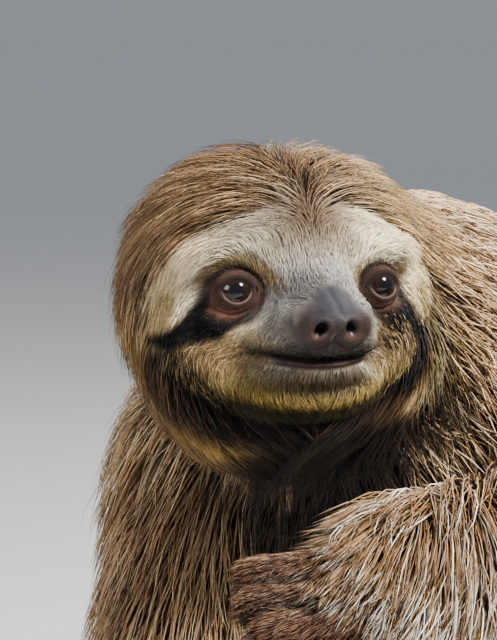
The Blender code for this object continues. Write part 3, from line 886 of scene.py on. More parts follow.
def rough_skin():
    bm = bmesh.new()
    for bone in BONES:
        add_beads(bm, bone)
    add_head_forms(bm)
    mesh = bpy.data.meshes.new("skin")
    bm.to_mesh(mesh)
    bm.free()
    skin = link(bpy.data.objects.new("skin", mesh))
    one = skin.modifiers.new("one surface", "REMESH")
    one.mode = "VOXEL"
    one.voxel_size = SKIN_VOXEL
    soft = skin.modifiers.new("soft", "SMOOTH")
    soft.iterations = 5
    bpy.context.view_layer.update()
    done = bpy.data.meshes.new_from_object(skin.evaluated_get(bpy.context.evaluated_depsgraph_get()))
    skin.modifiers.clear()
    skin.data = done
    write_points(done, settle(read_points(done), skin_distance, 3))
    return skin


def unwrap(skin):
    bpy.ops.object.select_all(action="DESELECT")
    bpy.context.view_layer.objects.active = skin
    skin.select_set(True)
    skin.data.uv_layers.new(name="OFBake")
    bpy.ops.object.mode_set(mode="EDIT")
    bpy.ops.mesh.select_all(action="SELECT")
    bpy.ops.uv.smart_project(angle_limit=math.radians(66), island_margin=0.003)
    bpy.ops.object.mode_set(mode="OBJECT")


def wanted_level(places):
    """How many times the skin is divided at places on the head."""
    x, y, z = np.abs(places[:, 0]), places[:, 1], places[:, 2]
    level = np.where((y < 6) & (x < 50) & (z > -44) & (z < 44), 1, 0)
    level = np.where((y < -3) & (x < 40) & (z > -36) & (z < 20), 2, level)
    eye = np.hypot(x - EYE_AT[0], z - EYE_AT[2]) < 12.0
    nose = (x < 15.5) & (z > -20) & (z < 0) & (y < -26)
    mouth = (x < 25) & (z > -25) & (z < -12.5) & (y < -12)
    return np.where((y < -8) & (eye | nose | mouth), 3, level)


def divide(mesh):
    for level in (1, 2, 3):
        bm = bmesh.new()
        bm.from_mesh(mesh)
        bm.faces.ensure_lookup_table()
        middles = np.array([face.calc_center_median() for face in bm.faces])
        chosen = np.nonzero(wanted_level(to_head(middles)) >= level)[0]
        edges = {edge for index in chosen for edge in bm.faces[index].edges}
        bmesh.ops.subdivide_edges(bm, edges=list(edges), cuts=1, use_grid_fill=True)
        bm.to_mesh(mesh)
        bm.free()
    mesh.update()


# Folds of skin round the eye: distance from its middle, depth and half width.
EYE_FOLDS = [(7.9, 0.60, 0.45), (9.2, 0.40, 0.5), (10.6, 0.35, 0.6), (12.2, 0.25, 0.7)]


def dents(places):
    """How far the finest details push the head's skin out, in millimetres."""
    x, y, z = places.T
    side = np.abs(x)
    push = np.zeros(len(places))
    # mouth
    ahead = smooth_step(-13.0, -18.0, y) * (1 - smooth_step(MOUTH_HALF - 1.5, MOUTH_HALF + 1.5, side))
    gap = z - mouth_height(x)
    push -= 2.6 * ahead * hump(gap, 0.0, 0.75)
    push += 0.45 * ahead * hump(gap, -1.7, 0.9)
    # nostrils: commas that open to the sides
    front = smooth_step(-30.0, -34.0, y)
    push -= 3.4 * nostril_amount(places)
    ring = np.hypot((side - 5.2) / 3.3, (z + 11.4) / 3.2)
    push += 0.30 * front * hump(ring, 1.0, 0.30)
    # groove under the nose, and the crease that frames each wing
    push -= 0.7 * front * hump(x, 0.0, 0.8) * smooth_step(-12.0, -14.0, z) * smooth_step(-20.0, -17.5, z)
    wing = np.hypot((side - 6.0) / 8.4, (z + 10.0) / 8.0)
    low = smooth_step(-4.0, -8.0, z) * smooth_step(-22.0, -26.0, y)
    push -= 0.5 * low * hump(wing, 1.0, 0.12)
    # crease down the bridge
    bridge = smooth_step(-9.0, -6.0, z) * (1 - smooth_step(1.0, 4.0, z)) * front
    push -= 0.45 * bridge * hump(x + 0.35 * (z + 3.0), 0.0, 1.1)
    for eye in (-1, 1):
        local = eye_local(places, eye)
        reach = np.hypot(local[:, 0], local[:, 2] * 1.08)
        ahead = smooth_step(0.0, 2.0, local[:, 1])
        for radius, deep, width in EYE_FOLDS:
            wobble = 0.5 * np.sin(np.arctan2(local[:, 2], local[:, 0]) * 3 + radius)
            push -= deep * ahead * hump(reach - radius + wobble, 0.0, width)
    return push


EYE_OPENING = (46.0, 34.0, 37.0)  # angles across, up and down from the middle
EYE_HOLE = 6.5  # how deep the skin is pushed in behind the opening


def opening_share(local):
    """1 on the edge of the lids, less inside the opening."""
    across = np.degrees(np.arctan2(local[:, 0], np.maximum(local[:, 1], 0.1))) / EYE_OPENING[0]
    tall = np.degrees(np.arctan2(local[:, 2], np.maximum(local[:, 1], 0.1)))
    tall = tall / np.where(tall > 0, EYE_OPENING[1], EYE_OPENING[2])
    return np.hypot(across, tall)


def open_eyes(places):
    """Pushes the skin in behind the opening of each eye."""
    for side in (-1, 1):
        local = eye_local(places, side)
        inside = (1 - smooth_step(1.12, 1.32, opening_share(local))) * smooth_step(0.0, 2.0, local[:, 1])
        inside *= 1 - smooth_step(9.0, 11.0, np.linalg.norm(local, axis=1))
        places = places - eye_axes(side)[1][1] * (inside * EYE_HOLE)[:, None]
    return places


LID_STEPS = 96
LID_PROFILE = [  # distance from the eye's middle, and how far beyond the opening, of each ring
    (5.70, 0.86),
    (6.03, 0.97),
    (6.35, 1.00),
    (6.75, 1.05),
    (7.00, 1.13),
    (7.10, 1.24),
    (7.12, 1.38),
    (7.10, 1.55),
    (7.02, 1.72),
    (6.70, 1.92),
    (6.10, 2.10),
]


def lid_mesh(side):
    """The rim of both lids, hugging the eye, as rings that dive under the skin round it."""
    centre, axes = eye_axes(side)
    turn = np.linspace(0, 2 * math.pi, LID_STEPS, endpoint=False)
    rings = []
    for radius, spread in LID_PROFILE:
        corner = 1 + 0.10 * np.abs(np.cos(turn)) ** 6  # the lids meet in a slight point
        across = np.radians(EYE_OPENING[0] * spread) * np.cos(turn) * corner
        height = np.where(np.sin(turn) > 0, EYE_OPENING[1], EYE_OPENING[2])
        height = height + 50.0 * max(spread - 1.3, 0) ** 2  # the outer rings are the taller
        tall = np.radians(height * spread) * np.sin(turn) * (1 - 0.10 * np.abs(np.cos(turn)) ** 2)
        reach = np.hypot(across, tall)
        flat = np.stack([across, tall], axis=1) / reach[:, None]
        local = np.stack([np.sin(reach) * flat[:, 0], np.cos(reach), np.sin(reach) * flat[:, 1]], axis=1)
        rings.append(from_head(local * radius @ axes + centre))
    points = np.concatenate(rings)
    faces = [face[::side] for face in ring_faces(len(rings), LID_STEPS)]
    mesh = bpy.data.meshes.new("lid")
    mesh.from_pydata(points.tolist(), [], faces)
    layer = mesh.uv_layers.new(name="OFBake")
    spots = np.empty(len(mesh.loops) * 2, np.float32).reshape(-1, 2)
    corner = np.empty(len(mesh.loops), np.int32)
    mesh.loops.foreach_get("vertex_index", corner)
    spots[:, 0] = (corner % LID_STEPS) / LID_STEPS * 0.03 + (0.005 if side > 0 else 0.045)
    spots[:, 1] = (corner // LID_STEPS) / len(rings) * 0.006 + 0.990
    layer.uv.foreach_set("vector", spots.ravel())
    return mesh


def skin_colours(points):
    """The coat's own colours, darker, as hair shades the skin; true on bare skin."""
    weights, _ = bone_weights(points)
    body = np.zeros((len(points), 3))
    for k, coat in enumerate(BONE_COATS):
        body += weights[:, k, None] * np.array(UNDERCOAT_IN_SHADE[coat.palette])
    body = mixed(body, CHEST, chest_amount(points, weights))
    places = to_head(points)
    share = head_weight(points)
    bare = bare_amount(places)
    head = head_colours(places)
    head = head * (0.42 + 0.58 * np.maximum(bare, in_face(places) * 0.75))[:, None]
    return mixed(body, head, share), wet_amount(places) * share


def bare_amount(places):
    """1 where the face shows bare skin: nose, lips and round the eyes."""
    sockets = oval(places, (25.2, -1.0), (9.0, 9.8), 50.0, 0.2) * smooth_step(0.0, -8.0, places[:, 1])
    return np.maximum(np.maximum(nose_amount(places), lip_amount(places) * 0.6), sockets)


def wet_amount(places):
    """How smooth the bare skin is: most on the nose's tip, less on its bridge."""
    bridge = oval(places, (0.0, -1.0), (9.0, 7.0), soft=0.5)
    return np.maximum(nose_amount(places) * (1 - 0.6 * bridge), lip_amount(places) * 0.6)


def chest_amount(points, weights):
    """1 on the throat and chest, which are painted nearly black: dark fur, with painted shade on it too."""
    x, y, z = points.T
    chest = np.exp(-(((x + 0.005) / 0.058) ** 4)) * smooth_step(-0.060, -0.100, y - 0.25 * (z - 0.25))
    chest = chest * smooth_step(0.14, 0.20, z) * (1 - smooth_step(0.285, 0.300, z))
    side, back, height = to_head(points).T
    throat = smooth_step(-24.0, -34.0, height) * smooth_step(42.0, 30.0, back)
    throat = throat * smooth_step(44.0, 32.0, np.abs(side))
    return np.maximum(chest, throat) * weights[:, IS_CENTRAL].sum(axis=1)


def make_skin():
    skin = rough_skin()
    unwrap(skin)
    mesh = skin.data
    divide(mesh)
    points = read_points(mesh)
    fine = np.nonzero(wanted_level(to_head(points)) >= 1)[0]
    points[fine] = settle(points[fine], skin_distance, 4)
    write_points(mesh, points)
    ways = gradient(skin_distance, points[fine])
    places = to_head(points[fine])
    places = places + (ways @ HEAD_TURNS) * dents(places)[:, None]
    points[fine] = from_head(open_eyes(places))
    write_points(mesh, points)
    bm = bmesh.new()
    bm.from_mesh(mesh)
    for side in (-1, 1):
        lid = lid_mesh(side)
        bm.from_mesh(lid)
        bpy.data.meshes.remove(lid)
    bmesh.ops.triangulate(bm, faces=[face for face in bm.faces if len(face.verts) > 4])
    bm.to_mesh(mesh)
    bm.free()
    mesh.shade_smooth()
    colours, bare = skin_colours(read_points(mesh))
    paint(mesh, "Coat", colours, bare)
    return skin


# ---------------------------------------------------------------- roots of the hairs

Roots = namedtuple("Roots", "points normals spots")


def skin_triangles(mesh):
    mesh.calc_loop_triangles()
    count = len(mesh.loop_triangles)
    corners = np.empty(count * 3, np.int32)
    mesh.loop_triangles.foreach_get("vertices", corners)
    loops = np.empty(count * 3, np.int32)
    mesh.loop_triangles.foreach_get("loops", loops)
    spots = np.empty(len(mesh.loops) * 2, np.float32)
    mesh.uv_layers["OFBake"].uv.foreach_get("vector", spots)
    ways = np.empty(len(mesh.vertices) * 3, np.float32)
    mesh.vertex_normals.foreach_get("vector", ways)
    return (
        read_points(mesh)[corners.reshape(-1, 3)],
        ways.reshape(-1, 3).astype(float)[corners.reshape(-1, 3)],
        spots.reshape(-1, 2)[loops.reshape(-1, 3)],
    )


def scatter(triangles, density, draw):
    """Roots spread over the skin, as many to a square metre as the density says at each triangle."""
    points, ways, spots = triangles
    area = np.linalg.norm(np.cross(points[:, 1] - points[:, 0], points[:, 2] - points[:, 0]), axis=1) / 2
    wanted = area * density
    ends = np.cumsum(wanted)
    count = int(ends[-1])
    ticks = (np.arange(count) + draw.uniform(0, 1, count)) * ends[-1] / count
    chosen = np.minimum(np.searchsorted(ends, ticks), len(area) - 1)
    first, second = draw.uniform(size=(2, count))
    over = first + second > 1
    first[over], second[over] = 1 - first[over], 1 - second[over]
    shares = np.stack([1 - first - second, first, second], axis=1)[:, :, None]
    return Roots(
        (points[chosen] * shares).sum(axis=1),
        unit((ways[chosen] * shares).sum(axis=1)),
        (spots[chosen] * shares).sum(axis=1),
    )


# ---------------------------------------------------------------- fields on a grid

GRID_STEP = 0.005
GRID_MARGIN = 0.045


def make_grid():
    """Distance from the skin, its gradient and the comb, on a grid round the animal."""
    low = np.array(SOLID_BOX[0]) - GRID_MARGIN
    high = np.array(SOLID_BOX[1]) + GRID_MARGIN
    counts = np.ceil((high - low) / GRID_STEP).astype(int) + 1
    ticks = [low[k] + np.arange(counts[k]) * GRID_STEP for k in range(3)]
    points = np.stack(np.meshgrid(*ticks, indexing="ij"), axis=-1).reshape(-1, 3)
    distance = skin_distance(points)
    values = np.zeros((len(points), 7), np.float32)
    values[:, 0] = distance
    slopes = np.gradient(distance.reshape(counts), GRID_STEP)
    values[:, 1:4] = np.stack(slopes, axis=-1).reshape(-1, 3)
    near = np.nonzero(np.abs(distance) < GRID_MARGIN)[0]
    values[near, 4:7] = comb(points[near])
    return low, counts, values.reshape(*counts, 7)


def look_up(grid, points):
    low, counts, values = grid
    place = np.clip((points - low) / GRID_STEP, 0, counts - 1.001)
    cell = place.astype(int)
    share = place - cell
    total = 0
    for corner in np.ndindex(2, 2, 2):
        weight = np.prod(np.where(corner, share, 1 - share), axis=1)[:, None]
        at = cell + corner
        total = total + values[at[:, 0], at[:, 1], at[:, 2]] * weight
    return total[:, 0], unit(total[:, 1:4]), total[:, 4:7]


# ---------------------------------------------------------------- growing hairs

UNRULY = 0.10  # how far each hair strays from the way its coat lies
WAVY = 0.16
SAG = 0.35
STEADY = 0.35  # how much of its way a hair keeps from one bend to the next
MOST_GATHERED = 0.93
SAMPLED_ROOTS = 400
NEIGHBOURS = 8


def laid(way, normals):
    """A direction with what points into the skin taken out of it."""
    inward = np.minimum((way * normals).sum(axis=1, keepdims=True), 0.0)
    return unit(way - normals * inward)


def grow(grid, roots, length, lift, depth, segments, draw, unruly=UNRULY, sag=SAG, wavy=WAVY):
    """Lines of points that rise from the skin and then follow it at the coat's depth."""
    count = len(roots.points)
    step = (length / segments)[:, None]
    jitter = draw.normal(size=(count, 3)) * unruly
    swing = draw.normal(size=(count, 3)) * wavy
    phase = draw.uniform(0, 2 * math.pi, (count, 1))
    points = [roots.points]
    place = roots.points
    way = None
    for k in range(segments):
        share = (k + 0.5) / segments
        height, normals, lie = look_up(grid, place)
        if k == 0:
            normals = roots.normals
        lie = unit(lie) + np.array((0.0, 0.0, -sag * share)) + jitter * (1 + share)
        lie = lie + swing * np.sin(phase + share * 5.0)
        flat = laid(lie, normals)
        rise = np.radians(lift) * np.clip(1 - height / depth, -0.25, 1.0)
        wanted = flat * np.cos(rise)[:, None] + normals * np.sin(rise)[:, None]
        way = unit(wanted if way is None else way * STEADY + wanted * (1 - STEADY))
        place = place + way * step
        height, normals, _ = look_up(grid, place)
        place = place + normals * np.maximum(SKIN_GAP - height, 0.0)[:, None]
        points.append(place)
    return np.stack(points, axis=1)


def gather(lines, roots, spacing, strength, draw):
    """Draws the hairs together into locks: each towards the line of a chosen neighbour."""
    count = len(lines)
    area = 1.0 / np.maximum(spacing, 1e-4) ** 2
    chosen = np.nonzero(draw.uniform(size=count) < np.clip(area / roots_density(roots, count), 0, 1))[0]
    if len(chosen) < 2:
        return lines, np.zeros(count, int)
    tree = KDTree(len(chosen))
    for order, index in enumerate(chosen):
        tree.insert(roots.points[index], order)
    tree.balance()
    owner = np.array([chosen[tree.find(point)[1]] for point in roots.points])
    shares = np.linspace(0, 1, lines.shape[1]) ** 1.3
    pull = (strength * draw.uniform(0.5, 1.1, count))[:, None, None] * shares[None, :, None]
    return lines + (lines[owner] - lines) * np.clip(pull, 0, MOST_GATHERED), owner


def roots_density(roots, count):
    """A rough density of roots, to a square metre, from how far some of them are from neighbours."""
    sample = np.arange(0, count, max(1, count // SAMPLED_ROOTS))
    tree = KDTree(count)
    for index, point in enumerate(roots.points):
        tree.insert(point, index)
    tree.balance()
    reach = np.array([tree.find_n(roots.points[k], NEIGHBOURS + 1)[-1][2] for k in sample])
    return NEIGHBOURS / (math.pi * np.median(reach) ** 2)


# ---------------------------------------------------------------- solid hairs

CORNERS = 3  # of a hair's section
PATCH = 0.003  # a hair's own patch on the unwrap
BOX_MARGIN = 0.004
FLOOR_GAP = 0.0003
SKIN_GAP = 0.0006


def hair_points(lines, widths, normals):
    """Rings of corners round each hair's line, narrower to its tip, and the tip."""
    count, rings = lines.shape[0], lines.shape[1] - 1
    ways = unit(np.diff(lines, axis=1))
    ways = np.concatenate([ways[:, :1], unit(ways[:, 1:] + ways[:, :-1])], axis=1)
    side = unit(np.cross(ways, normals[:, None, :]))
    up = np.cross(side, ways)
    share = np.arange(rings) / rings
    swelling = 0.72 + 0.28 * np.sin(math.pi * np.minimum(share * 1.6, 1.0))
    radius = widths[:, None] / 2 * swelling * (1 - share**2.4 * 0.75)
    points = np.empty((count, rings * CORNERS + 1, 3))
    for corner in range(CORNERS):
        angle = math.radians(90 + 360 / CORNERS * corner)
        offset = side * math.cos(angle) + up * math.sin(angle)
        points[:, corner : rings * CORNERS : CORNERS] = lines[:, :-1] + offset * radius[:, :, None]
    points[:, -1] = lines[:, -1]
    return points


def hair_faces(rings):
    """The faces of one hair: its sides, its pointed end and the cap at its root."""
    last = (rings - 1) * CORNERS
    tip = last + CORNERS
    end = [(last + corner, last + (corner + 1) % CORNERS, tip) for corner in range(CORNERS)]
    return ring_faces(rings, CORNERS) + end + [(2, 1, 0)]


def hair_mesh(name, lines, widths, normals, shades, spots):
    """Three-sided, tapered hairs as one mesh, each with its colours and its own patch of the unwrap."""
    count, rings = lines.shape[0], lines.shape[1] - 1
    points = hair_points(lines, widths, normals)
    faces = hair_faces(rings)
    one = np.array([index for face in faces for index in face])
    loops = (one[None, :] + np.arange(count)[:, None] * points.shape[1]).ravel()
    totals = np.tile([len(face) for face in faces], count)
    starts = np.concatenate([[0], np.cumsum(totals)[:-1]])

    mesh = bpy.data.meshes.new(name)
    mesh.vertices.add(count * points.shape[1])
    mesh.loops.add(len(loops))
    mesh.polygons.add(len(totals))
    mesh.vertices.foreach_set("co", points.astype(np.float32).ravel())
    mesh.loops.foreach_set("vertex_index", loops.astype(np.int32))
    mesh.polygons.foreach_set("loop_start", starts.astype(np.int32))
    mesh.update(calc_edges=True)
    mesh.shade_smooth()

    ring_share = np.concatenate([np.repeat(np.arange(rings) / rings, CORNERS), [1.0]])
    each = np.concatenate([np.repeat(np.arange(rings), CORNERS), [rings]])
    paint(mesh, "Coat", shades[:, each].reshape(-1, 3), np.tile(ring_share, count))
    offsets = np.stack([np.concatenate([np.tile([0.0, 0.5, 1.0], rings), [0.5]]), ring_share], axis=1)
    patch = spots[:, None, :] * (1 - PATCH) + offsets[None, :, :] * PATCH
    layer = mesh.uv_layers.new(name="OFBake")
    layer.uv.foreach_set("vector", patch.reshape(-1, 2)[loops].astype(np.float32).ravel())
    return link(bpy.data.objects.new(name, mesh))


def kept_in_box(lines):
    """Shortens hairs that would reach farther out of the solids' box than the margin."""
    root = lines[:, :1]
    reach = lines - root
    past_high = reach / np.maximum(np.array(SOLID_BOX[1]) + BOX_MARGIN - root, 1e-4)
    past_low = reach / np.minimum(np.array(SOLID_BOX[0]) - BOX_MARGIN - root, -1e-4)
    over = np.maximum(past_high.max(axis=(1, 2)), past_low.max(axis=(1, 2)))
    return root + reach / np.maximum(over, 1.0)[:, None, None]


def above_floor(lines, widths):
    """Keeps hair from going through the floor: what would, lies along it."""
    lines[:, :, 2] = np.maximum(lines[:, :, 2], widths[:, None] * 0.6 + FLOOR_GAP)
    return lines


def faded(roots, tips, rings, turned=0.6):
    """Colours at each ring of each hair, from the root's to the tip's."""
    share = smooth_step(0.0, turned, np.linspace(0, 1, rings))[None, :, None]
    return roots[:, None, :] * (1 - share) + tips[:, None, :] * share


def tinted(shades, colour, share):
    """The colours along each hair with one more laid over them, by each hair's share."""
    flat = mixed(shades.reshape(-1, 3), colour, np.repeat(share, shades.shape[1]))
    return flat.reshape(shades.shape)


# ---------------------------------------------------------------- the coat

PER_SQUARE_CM = 1e4
SEGMENTS = 4
RAISED_SEGMENTS = 5
GATHERED = 0.62  # how close the hairs of a lock lie
RAISED_GATHERED = 0.74
HOOD_GATHERED = 0.6
HOOD_UNRULY = 0.06
HOOD_SAG = 0.12
FINE_WIDTH = 0.00068  # of the body's hairs near the head
DARKEST = 0.002
BRIGHTEST = 0.95
FACE_BRIGHTEST = 0.97

Site = namedtuple("Site", "roots weights shares best fine places from_hood central")
# Of each hair's root: the bones' weights and shares, the bone that counts most, how fine the hair is, its
# place in the head's frame, how far it is from the head, and how much it is on the trunk, neck or shoulders.


def pick_colours(palettes, draw):
    """One colour a hair from its zone's palette, by the shares of its colours."""
    chance = draw.uniform(size=len(palettes))
    colours = np.zeros((len(palettes), 3))
    under = np.zeros((len(palettes), 3))
    for name in PALETTES:
        mine = palettes == name
        if not mine.any():
            continue
        edge = 0.0
        for colour, share in PALETTES[name]:
            hit = mine & (chance >= edge) & (chance < edge + share + 1e-9)
            colours[hit] = colour
            edge += share
        under[mine] = UNDERCOAT_IN_SHADE[name]
    return colours, under


def blended(weights, field):
    """One measure of the bones' coats, by how much each bone counts."""
    return weights @ np.array([getattr(coat, field) for coat in BONE_COATS], float)


def near_head(points):
    return smooth_step(0.215, 0.150, np.linalg.norm(points - HEAD_AT, axis=1))


def body_density(middles, raised):
    """Hairs to a square metre: on the raised forearm, or everywhere else but on the head."""
    weights, _ = bone_weights(middles)
    density = blended(weights, "density") * PER_SQUARE_CM
    wanted = np.array([(coat.palette == "raised") == raised for coat in BONE_COATS])
    density = density * (weights @ wanted)
    on_head = head_weight(middles)
    behind = smooth_step(30.0, 45.0, to_head(middles)[:, 1])
    off_head = smooth_step(0.45, 0.05, on_head) * (1 - behind) + (1 - on_head) * behind
    return density * (1 + 0.65 * near_head(middles) * (density < 3.0e5)) * off_head


def body_site(roots):
    weights, shares = bone_weights(roots.points)
    places = to_head(roots.points)
    central = weights[:, IS_CENTRAL].sum(axis=1)
    fine = near_head(roots.points)
    return Site(roots, weights, shares, weights.argmax(axis=1), fine, places, head_distance(places), central)


def body_sizes(site, raised, draw):
    """Length, width and depth of each hair."""
    count = len(site.places)
    length = blended(site.weights, "length") * MM * draw.uniform(0.70, 1.12, count)
    width = blended(site.weights, "width") * MM * draw.uniform(0.75, 1.25, count)
    width = np.minimum(width, width * (1 - site.fine) + FINE_WIDTH * site.fine)
    depth = blended(site.weights, "depth") * MM * draw.uniform(0.45, 1.05, count)
    in_hand = site.weights[:, IN_LEFT_HAND].sum(axis=1)
    length *= 1 - 0.65 * in_hand * site.shares[:, IN_LEFT_HAND].max(axis=1)
    clear = np.maximum(smooth_step(2.0, 34.0, site.from_hood), raised)
    length *= 0.50 + 0.50 * clear
    depth *= 0.30 + 0.70 * clear
    depth *= 1 - 0.5 * site.central * smooth_step(0.345, 0.370, site.roots.points[:, 2])
    return length, width, depth


def tangle(site, raised):
    """How unruly each hair is: the left shoulder's, beside the head, are the most tangled."""
    x, _, z = site.roots.points.T
    low = smooth_step(0.350, 0.325, z)
    tangled = site.fine * site.central * smooth_step(0.0, 0.04, x) * (0.4 + 0.6 * low)
    return 1 + 1.6 * tangled * (not raised)


def toe_crease_shade(points):
    """1, and less in the creases between toes, where shade is painted on the hair."""
    distances, _ = bone_distances(points)
    toes = np.sort(distances[:, IS_TOE], axis=1)
    return 1 - 0.9 * hump(toes[:, 1], toes[:, 0], 0.0030) * (toes[:, 0] < 0.004)


def body_colours(site, owner, draw):
    """Each hair's colour at its root and at its tip."""
    points, normals, _ = site.roots
    count = len(points)
    palettes = np.array([coat.palette for coat in BONE_COATS])[site.best]
    colours, under = pick_colours(palettes, draw)
    patchy = 1 + 0.22 * waves(points, 0.045, 5) + 0.10 * draw.normal(size=count)
    lock = draw.uniform(0.80, 1.18, count)[owner]
    # painted shade: on the back, half the locks where the skin faces down are painted darker
    shaded = smooth_step(0.55, -0.15, normals[:, 2]) * (palettes == "back")
    lock *= 1 - 0.72 * shaded * (draw.uniform(size=count) < 0.5)[owner]
    tips = colours * (patchy * lock)[:, None]
    # the raised forearm is rusty along its top
    ridge = smooth_step(0.15, 0.75, normals[:, 2] + 0.6 * np.maximum(normals[:, 1], 0))
    ridge *= (palettes == "raised") * (draw.uniform(size=count) < 0.82)
    # painted shade in the creases between toes
    tips = mixed(tips, RIDGE_RUST, ridge * 0.8) * toe_crease_shade(points)[:, None]
    # the chest is dark fur with painted shade on it, and the neck's hair under the hood's lower edge gets a
    # painted shadow
    dark = chest_amount(points, site.weights)
    shade_under_hood = smooth_step(-18.0, -32.0, site.places[:, 2])
    shade_under_hood = site.central * smooth_step(10.0, 3.0, site.from_hood) * shade_under_hood
    return mixed(under, CHEST, dark), layered(tips, [(CHEST, dark * 0.93), (CHEST, shade_under_hood * 0.85)])


def body_coat(triangles, grid, draw, thin, raised):
    """The body's hairs: those of the raised forearm, which bend most, or all others."""
    roots = scatter(triangles, body_density(triangles[0].mean(axis=1), raised) * thin, draw)
    site = body_site(roots)
    length, width, depth = body_sizes(site, raised, draw)
    tangled = tangle(site, raised)[:, None]
    lift = blended(site.weights, "lift")
    segments = RAISED_SEGMENTS if raised else SEGMENTS
    strays, waved = UNRULY * tangled, WAVY * tangled
    lines = grow(grid, roots, length, lift, depth, segments, draw, strays, wavy=waved)
    strength = np.full(len(length), RAISED_GATHERED if raised else GATHERED) / tangled[:, 0] ** 0.4
    lines, owner = gather(lines, roots, blended(site.weights, "clump").mean() * MM, strength, draw)
    under, tips = body_colours(site, owner, draw)
    # the undercoat's own dark colour at the roots, with painted shade deep in the coat
    shades = np.clip(faded(under * 0.9 + tips * 0.1, tips, lines.shape[1]), DARKEST, BRIGHTEST)
    zone = np.array([f"{bone.zone}_{bone.side}".strip("_") for bone in BONES])[site.best]
    return above_floor(kept_in_box(lines), width), width, roots, shades, zone


def hood_shades(lines, places, near, owner, draw):
    """Colours along the hood's hairs: pale and dark ones above, dark locks and tan wisps below, with painted
    shade towards the roots.
    """
    count, rings = lines.shape[:2]
    shades = hood_colours(to_head(lines.reshape(-1, 3))).reshape(count, rings, 3)
    x, _, z = places.T
    high = 1 - smooth_step(4.0, -16.0, z)
    pale = (draw.uniform(size=count) < 0.14 + 0.20 * near) * high
    shades = tinted(shades, HOOD_PALE, pale * 0.7)
    lock = draw.uniform(0.60, 1.40, count)[owner] * draw.uniform(0.7, 1.3, count)
    lock *= 1 - 0.65 * high * (draw.uniform(size=count) < 0.12 + 0.20 * near)
    lock *= 1 - 0.60 * (1 - high) * (draw.uniform(size=count) < 0.28)[owner]
    wisps = (draw.uniform(size=count) < 0.22) * smooth_step(-4.0, -12.0, z)
    wisps = wisps * smooth_step(-43.0, -36.0, z) * (1 - smooth_step(5.0, 20.0, x))
    shades = tinted(shades, HOOD_TAN, wisps * 0.4)
    # painted shade: each hair darker towards its root, deep in the coat
    shade_at_root = 0.3 + 0.7 * smooth_step(0.0, 0.5, np.linspace(0, 1, rings))
    return np.clip(shades * lock[:, None, None] * shade_at_root[:, None], DARKEST, BRIGHTEST)


def hood_coat(triangles, grid, draw, thin):
    middles = triangles[0].mean(axis=1)
    places = to_head(middles)
    density = HOOD.density * PER_SQUARE_CM * head_weight(middles) * (1 - in_face(places)) * thin
    density *= 0.35 + 0.65 * smooth_step(48.0, 20.0, places[:, 1])
    roots = scatter(triangles, density, draw)
    count = len(roots.points)
    places = to_head(roots.points)
    z = places[:, 2]
    near = 1 - smooth_step(1.0, 1.25, face_edge(places))
    length = HOOD.length * MM * draw.uniform(0.7, 1.15, count) * (1 - 0.35 * near)
    width = HOOD.width * MM * draw.uniform(0.75, 1.25, count)
    deeper = 1 + 0.9 * smooth_step(22.0, 38.0, z) + 0.7 * smooth_step(-28.0, -40.0, z)
    depth = HOOD.depth * MM * draw.uniform(0.4, 1.05, count) * deeper
    lift = np.full(count, HOOD.lift)
    lines = grow(grid, roots, length, lift, depth, SEGMENTS, draw, HOOD_UNRULY, HOOD_SAG)
    lines, owner = gather(lines, roots, HOOD.clump * MM, np.full(count, HOOD_GATHERED), draw)
    return lines, width, roots, hood_shades(lines, places, near, owner, draw)


FACE_SEGMENTS = 3
FACE_DENSITY = 235 * PER_SQUARE_CM
FACE_CLUMP = 0.0026
FACE_LIFT = 24  # degrees at the root
FACE_LIFT_LOST = 13  # at each bend
FACE_STEADY = 0.3


def cheek_amount(places):
    return oval(places, (38.0, -24.0), (16.0, 11.0), -25.0, 0.4)


def face_length(places):
    """Length of the face's short hair in millimetres."""
    z = places[:, 2]
    edge = face_edge(places)
    length = 5.0 + 4.0 * smooth_step(0.35, 0.95, edge) * (1 - 0.85 * smooth_step(0.0, -10.0, z))
    length += 3.5 * cheek_amount(places) * (1 - 0.8 * smooth_step(0.80, 0.96, edge))
    length *= 1 - 0.52 * oval(places, (0.0, -9.0), (21.0, 15.0), soft=0.35)
    return length * (1 - 0.72 * oval(places, (25.2, -1.0), (10.0, 10.5), 50.0, 0.25))


def face_density(middles):
    """Hairs to a square metre of the face: none on its bare skin, few close to the eyes."""
    places = to_head(middles)
    open_skin = 1 - np.maximum(nose_amount(places) * 1.4, lip_amount(places) * 1.3)
    socket = oval(places, (24.2, -1.6), (9.0, 9.6), 50.0, 0.15)
    density = FACE_DENSITY * head_weight(middles) * in_face(places) * np.clip(open_skin, 0, 1)
    density *= 1 - 0.72 * socket
    for side in (-1, 1):
        reach, _ = eye_reach(eye_local(places, side), side)
        density *= smooth_step(6.6, 8.0, reach)
    return density * (places[:, 1] < 12)


def grow_on_face(roots, length, cheek, draw):
    """Short hairs that lie closer to the skin the farther they get from their roots."""
    points, normals, _ = roots
    count = len(points)
    lines = [points]
    way = None
    jitter = draw.normal(size=(count, 3)) * (0.10 + 0.16 * cheek)[:, None]
    for k in range(FACE_SEGMENTS):
        lie = head_comb(to_head(points)) @ HEAD_TURNS.T + jitter
        flat = unit(lie - normals * (lie * normals).sum(axis=1, keepdims=True))
        rise = np.radians(FACE_LIFT - FACE_LIFT_LOST * k) * draw.uniform(0.7, 1.2, count)
        wanted = flat * np.cos(rise)[:, None] + normals * np.sin(rise)[:, None]
        way = wanted if way is None else unit(way * FACE_STEADY + wanted * (1 - FACE_STEADY))
        points = points + way * (length / FACE_SEGMENTS)[:, None]
        lines.append(points)
    return np.stack(lines, axis=1)


